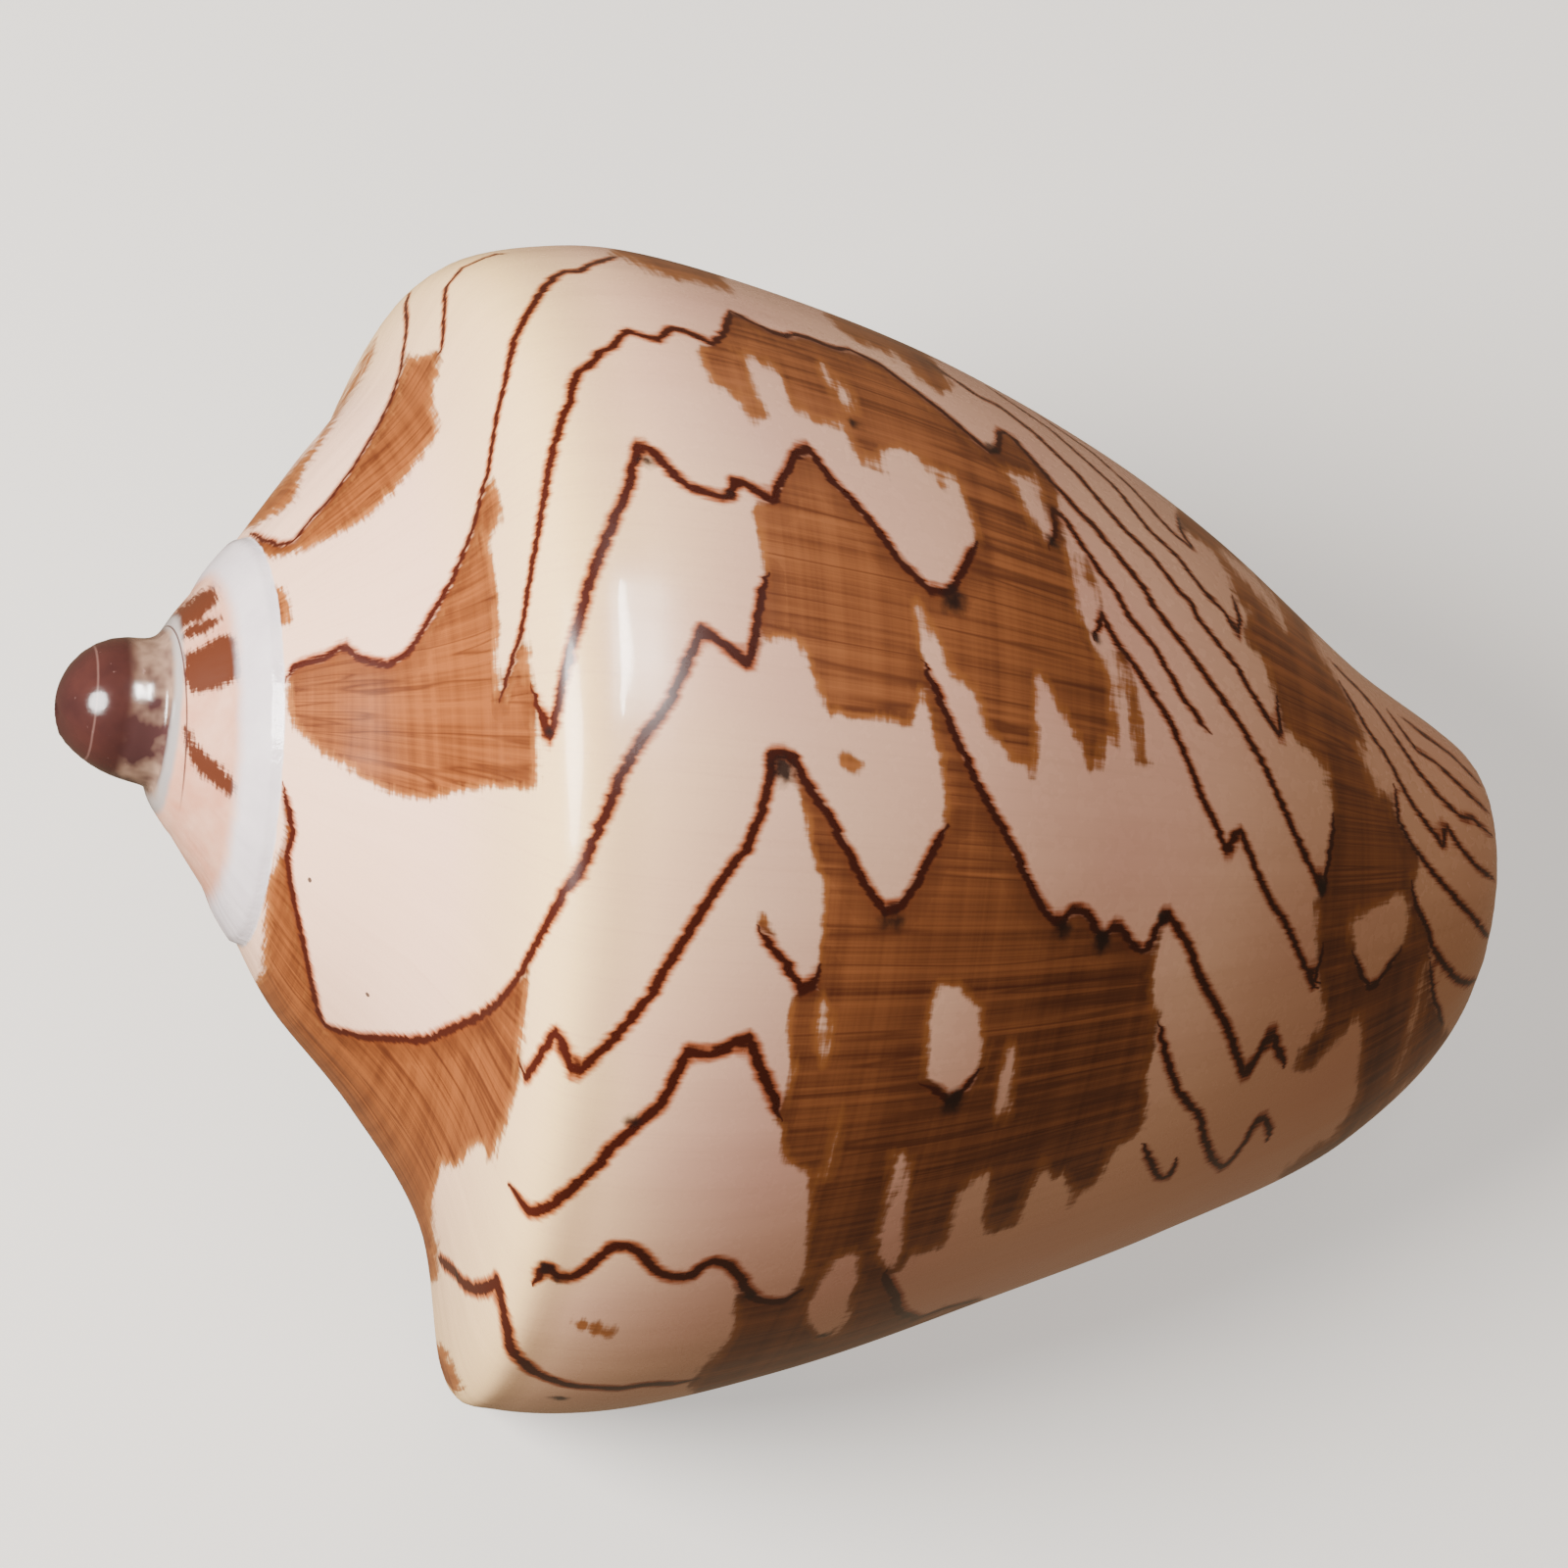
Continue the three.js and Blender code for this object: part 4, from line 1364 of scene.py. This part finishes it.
def grain(place, scale, detail, roughness):
    """Soft noise around 0, from about -0.5 to 0.5."""
    node = tree.nodes.new("ShaderNodeTexNoise")
    tree.links.new(place, node.inputs["Vector"])
    node.inputs["Scale"].default_value = scale
    node.inputs["Detail"].default_value = detail
    node.inputs["Roughness"].default_value = roughness
    return Field(tree, node.outputs["Fac"]) - 0.5


def clouded(noise, contrast, middle=0.5):
    """A share from 0 to 1 that drifts with the noise."""
    return (noise * contrast + middle).within(0, 1)


def peak(field, middle, reach):
    """1 at the middle, falling straight to 0 at the reach."""
    return (1 - (field - middle).size() / reach).within(0, 1)


def streaks(per_turn, per_spot, detail, roughness):
    """Noise laid on the spiral, with so many grains in a turn and in one spot of the outline."""
    return grain(together(turn * per_turn, spot * per_spot), 1, detail, roughness)


on_object = tree.nodes.new("ShaderNodeTexCoord").outputs["Object"]
drift = grain(on_object, 42, 2, 0.5)
cloud = grain(on_object, 260, 3, 0.6)
wobble = grain(on_object, 700, 3, 0.6)
specks = grain(on_object, 1400, 2, 0.6)
print("nodes with the noise:", len(tree.nodes))

# %% [markdown]
# Pigment is laid down at the lip, so patch edges end in small fingers along the way of growth,
# and every streak lies along a former lip.

# %% Streaks and edges
comb = streaks(420, 2, 3, 0.7)
fingers = streaks(40, 15, 3, 0.6)
bands = streaks(150, 0.15, 2, 0.5)
threads = streaks(520, 0.3, 3, 0.55)
hairs = streaks(1500, 0.6, 2, 0.5)
striae = streaks(5, 45, 2, 0.5)
belts = streaks(3, 8, 2, 0.5)
stops = streaks(95, 0.25, 2, 0.5)
has_line = half_width.above(0) * (1 - (line_distance - half_width).ramp(0.45, 0.6))
line_gap = (line_side + comb * 0.9 + wobble * 0.2).size()
near_line = (half_width + 0.9 - line_distance).ramp(0, 0.9)
edge = patch_depth + comb * 0.9 + fingers * 1.3 * (1 - near_line) + specks * 0.2
brown_share = edge.ramp(-0.3, 0.2)
print("nodes with the streaks:", len(tree.nodes))

# %% [markdown]
# The ground is cream, yellower on the shoulder, flushed with pink below it and tan towards the tip.
# The tan is partly the shell's own tone and partly painted shade at that end. The brown goes over
# it where a point lies deep enough in a patch.

# %% Ground
CREAM = tint(247, 202, 172)
SHOULDER_CREAM = tint(253, 215, 146)
FLUSH = tint(234, 178, 160)
TIP_TAN_AND_SHADE = tint(208, 152, 106)
THREAD_TAN = tint(214, 164, 138)
ground = blend(peak(spot, 4.3, 1.7) * 0.9, CREAM, SHOULDER_CREAM)
ground = blend(clouded(drift, 2.6) * spot.ramp(3.8, 5.5) * 0.85, ground, FLUSH)
# Tan towards the tip: partly the shell's own tone, partly painted shade at that end.
ground = blend(spot.ramp(8, 11) * 0.5, ground, TIP_TAN_AND_SHADE)
ground = blend((threads * 0.6 + hairs * 0.4 + striae * 0.2).within(0, 1), ground, THREAD_TAN)
print("nodes with the ground:", len(tree.nodes))

# %% [markdown]
# The brown is deeper on the sloping top, darker where growth stopped and near a dark line, and it
# thins out to an orange rim. Low on the flank, towards the lip and away from the light, it is darker
# again, partly its own tone and partly painted shade.

# %% Brown
BROWN = tint(164, 101, 60)
SLOPE_BROWN = tint(142, 80, 39)
DARK_BROWN = tint(88, 44, 26)
SLOPE_DARK_BROWN = tint(74, 33, 16)
RIM_ORANGE = tint(180, 114, 58)
slope_share = 1 - spot.ramp(3.4, 5.2)
brown = blend(slope_share, BROWN, SLOPE_BROWN)
dark_brown = blend(slope_share, DARK_BROWN, SLOPE_DARK_BROWN)
# Darker low on the flank towards the lip, which faces away from the light: partly the brown's own tone,
# partly painted shade.
low_flank_tone_and_shade = turn.ramp(-0.38, -0.16) * spot.ramp(5, 6)
darkness = bands * 1.3 + threads * 1.3 + hairs * 0.7 + striae * 0.3 + belts * 0.9 + low_flank_tone_and_shade * 0.3 + 0.3
brown = blend(darkness.within(0, 1), brown, dark_brown)
brown = blend(peak(stops, 0, 0.028) * 0.7, brown, dark_brown)
brown = blend(peak(line_distance, 0, 2.4) * half_width.above(0) * 0.6, brown, dark_brown)
brown = blend(peak(edge, 0.15, 0.5) * (1 - near_line) * 0.5, brown, RIM_ORANGE)
colour = blend(brown_share, ground, brown)
print("nodes with the brown:", len(tree.nodes))

# %% [markdown]
# A line has a dark red-brown core and a rust-coloured halo, which is lost on the brown. The smudges
# lie over both.

# %% Line colours
HALO_RUST = tint(156, 72, 28)
LINE_DARK = tint(62, 20, 11)
SMUDGE_BLACK = tint(34, 17, 16)
halo_share = (half_width + 0.4 - line_gap).ramp(0, 0.5) * has_line * (0.9 - brown_share * 0.8)
colour = blend(halo_share, colour, HALO_RUST)
core_share = (half_width * 0.65 + specks * 0.15 - line_gap).ramp(-0.16, 0.1) * has_line
colour = blend(core_share, colour, LINE_DARK)
stain_share = (smudge_share + wobble * 1.2).ramp(0, 0.75) * 0.97
colour = blend(stain_share, colour, SMUDGE_BLACK)
print("nodes with the lines:", len(tree.nodes))

# %% [markdown]
# ## Apex and glaze
# The smooth first shell is brown like polished wood. The next whorl is worn and cloudy, the one
# after it is flesh pink, and a white glaze covers the last suture.

# %% Spire colours
PINK = tint(228, 178, 152)
DEEP_PINK = tint(206, 140, 112)
SPIRE_BROWN = tint(84, 42, 26)
WORN_TAN = tint(150, 122, 104)
WORN_DARK = tint(70, 44, 44)
WORN_GREY = tint(172, 166, 164)
WOOD = tint(72, 40, 36)
DARK_WOOD = tint(52, 29, 29)
SPECK_PALE = tint(176, 140, 132)
SEAM_PALE = tint(160, 124, 116)
SUTURE_DARK = tint(66, 36, 34)
age = turn + spot * 0.5
in_spire = (turn * -1).above(1) * (1 - spot.above(LINE_SPOT + 0.001))
old = blend(clouded(cloud, 2.5, 0.45), PINK, DEEP_PINK)
old = blend((edge + 0.3).ramp(-0.2, 0.3), old, SPIRE_BROWN)
worn = blend(clouded(cloud, 5), WORN_TAN, WORN_DARK)
worn = blend((age + cloud * 0.3).ramp(-1.62, -1.45) * 0.8, worn, WORN_GREY)
old = blend(1 - (age + cloud * 0.12).ramp(-1.4, -1.3), old, worn)
first = blend(clouded(cloud, 2), WOOD, DARK_WOOD)
old = blend(1 - (age + cloud * 0.08).ramp(-2.06, -1.98), old, first)
old = blend(specks.ramp(0.2, 0.26) * (1 - age.ramp(-2, -1.5)) * 0.35, old, SPECK_PALE)
old = blend(peak(age, -2.19, 0.008) * 0.3, old, SEAM_PALE)
suture = (1 - spot.ramp(0.03, 0.07)) * (1 - turn.ramp(-1.2, -1.1)) * turn.ramp(-1.6, -1.5)
old = blend(suture * 0.85, old, SUTURE_DARK)
print("nodes with the spire:", len(tree.nodes))

# %% [markdown]
# The glaze is milky. A little of it spills over the suture onto the last whorl.

# %% Glaze
MILK = tint(226, 218, 222)
MILK_SHADE = tint(208, 200, 206)
SPILL = tint(222, 214, 218)
glaze = turn.ramp(-1.75, -1.6) * (spot + cloud * 0.35).ramp(1.0, 1.35)
milk = blend(clouded(cloud, 2), MILK, MILK_SHADE)
old = blend(glaze * 0.95, old, milk)
colour = blend(in_spire, colour, old)
spill = (1 - (spot + wobble * 0.1).ramp(0.03, 0.08)) * turn.ramp(-0.62, -0.55)
spill = spill * (1 - turn.ramp(-0.05, 0))
colour = blend(spill * 0.9, colour, SPILL)
print("nodes with the glaze:", len(tree.nodes))

# %% [markdown]
# Two small pits on the slope are dark dots, and their dark is painted shade. A ball of dark colour round
# each of their places stands in for the shade inside a pit.

# %% Pits
PITS = [(316, 898), (375, 1015)]
PIT_RADIUS = 0.22 * MM
PIT_SHADE = tint(40, 26, 24)
for pixel_x, pixel_y in PITS:
    gap = tree.nodes.new("ShaderNodeVectorMath")
    gap.operation = "DISTANCE"
    tree.links.new(on_object, gap.inputs[0])
    gap.inputs[1].default_value = drop_onto(pixel_x, pixel_y) * MM
    # Painted shade inside the pit: a dark ball round its place.
    pit = 1 - (Field(tree, gap.outputs["Value"]) / PIT_RADIUS).ramp(0.7, 1.1)
    colour = blend(pit * 0.9, colour, PIT_SHADE)
print("pits:", len(PITS))

# %% [markdown]
# ## Inside, gloss and touch
# The inside is bare and flesh-coloured. Ridges of growth can just be felt on the body whorl, the
# glaze is beaded, and the first shell and the glaze shine most.

# %% Inside, gloss and touch
LINING = tint(240, 200, 160)
LINING_SHADE = tint(228, 168, 124)
TOUCH_DEPTH = 0.1 * MM
inner_share = sheet.ramp(0.3, 0.9)
lining = blend(clouded(drift, 2), LINING, LINING_SHADE)
colour = blend(inner_share, colour, lining)
tree.links.new(colour, principled.inputs["Base Color"])
beads = (glaze * in_spire * spot.ramp(1.6, 1.95)).most(spill)
polished = in_spire * (1 - age.ramp(-1.4, -1.25))
touch = threads * 0.05 + hairs * 0.01 + beads * wobble * 1.1 + polished * wobble * 0.15
dents = tree.nodes.new("ShaderNodeBump")
dents.inputs["Strength"].default_value = 1
dents.inputs["Distance"].default_value = TOUCH_DEPTH
plug(tree, dents.inputs["Height"], touch * (1 - inner_share))
tree.links.new(dents.outputs["Normal"], principled.inputs["Normal"])
roughness = 0.27 + wobble * 0.1 + brown_share * 0.04 - beads * 0.14 - polished * 0.12
plug(tree, principled.inputs["Roughness"], roughness)
principled.inputs["Specular IOR Level"].default_value = 0.35
principled.inputs["Coat Weight"].default_value = 0.2
principled.inputs["Coat Roughness"].default_value = 0.06
print("material nodes:", len(tree.nodes))

# %% [markdown]
# ## The studio
# The shell lies on a plain pale floor, which catches its shadow. The shell neither mirrors the floor
# nor takes light from it, so that its shaded end stays warm and dark.

# %% Floor
FLOOR = 3
PALE = (0.8, 0.78, 0.75, 1)
floor_corners = [(-FLOOR, -FLOOR, 0), (FLOOR, -FLOOR, 0), (FLOOR, FLOOR, 0), (-FLOOR, FLOOR, 0)]
floor_mesh = bpy.data.meshes.new("floor")
floor_mesh.from_pydata(floor_corners, [], [(0, 1, 2, 3)])
floor = bpy.data.objects.new("floor", floor_mesh)
bpy.context.scene.collection.objects.link(floor)
floor_finish = bpy.data.materials.new("floor")
floor_finish.use_nodes = True
floor_shader = floor_finish.node_tree.nodes["Principled BSDF"]
floor_shader.inputs["Base Color"].default_value = (0.5, 0.48, 0.45, 1)
floor_shader.inputs["Roughness"].default_value = 0.8
floor_shader.inputs["Emission Color"].default_value = PALE
floor_shader.inputs["Emission Strength"].default_value = 0.8
floor_mesh.materials.append(floor_finish)
floor.visible_glossy = False
floor.visible_diffuse = False
print("floor across in m:", 2 * FLOOR)

# %% [markdown]
# Each lamp is a soft ellipse that points at the shell. One stands like a window to the left, where
# the shell is brightest. A weak one fills the far side. A long strip above lights no colour, and
# only draws the streak of gloss on the shoulder.

# %% Lamps
AIM_HEIGHT = 0.03


def lamp(name, place, size, watts, colour, lights_colour=True, makes_shine=True):
    """Add a soft lamp, in metres and watts. It may light the colour, make a highlight, or do both."""
    light = bpy.data.lights.new(name, "AREA")
    light.shape = "ELLIPSE"
    light.size, light.size_y = size
    light.energy = watts
    light.color = colour
    holder = bpy.data.objects.new(name, light)
    way = Vector((0, place[1], AIM_HEIGHT)) - Vector(place)
    facing = way.to_track_quat("-Z", "Y").to_matrix().to_4x4()
    holder.matrix_world = Matrix.Translation(Vector(place)) @ facing
    holder.visible_diffuse = lights_colour
    holder.visible_glossy = makes_shine
    bpy.context.scene.collection.objects.link(holder)


lamp("window", (-0.385, -0.06, 0.36), (0.26, 0.26), 9.6, (1, 0.97, 0.93))
lamp("side", (0.2, 0.45, 0.25), (0.3, 0.3), 1.25, (1, 0.93, 0.92), True, False)
lamp("strip", (0.125, 0.085, 0.8), (0.36, 0.05), 10, (1, 0.98, 0.96), False)

# %% [markdown]
# The room gives a weak warm light of its own, and the camera sees a pale backdrop instead of it.

# %% Room
world = bpy.data.worlds.new("studio")
world.use_nodes = True
sky = world.node_tree
room = sky.nodes["Background"]
room.inputs["Color"].default_value = (1, 0.72, 0.48, 1)
room.inputs["Strength"].default_value = 0.24
backdrop = sky.nodes.new("ShaderNodeBackground")
backdrop.inputs["Color"].default_value = PALE
backdrop.inputs["Strength"].default_value = 0.85
either = sky.nodes.new("ShaderNodeMixShader")
rays = sky.nodes.new("ShaderNodeLightPath")
sky.links.new(rays.outputs["Is Camera Ray"], either.inputs[0])
sky.links.new(room.outputs[0], either.inputs[1])
sky.links.new(backdrop.outputs[0], either.inputs[2])
sky.links.new(either.outputs[0], sky.nodes["World Output"].inputs["Surface"])
bpy.context.scene.world = world
print("room:", world.name)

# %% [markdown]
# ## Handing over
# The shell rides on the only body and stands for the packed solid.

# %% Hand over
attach(shell, "root")
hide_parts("shell")
print("handed over:", shell.name)
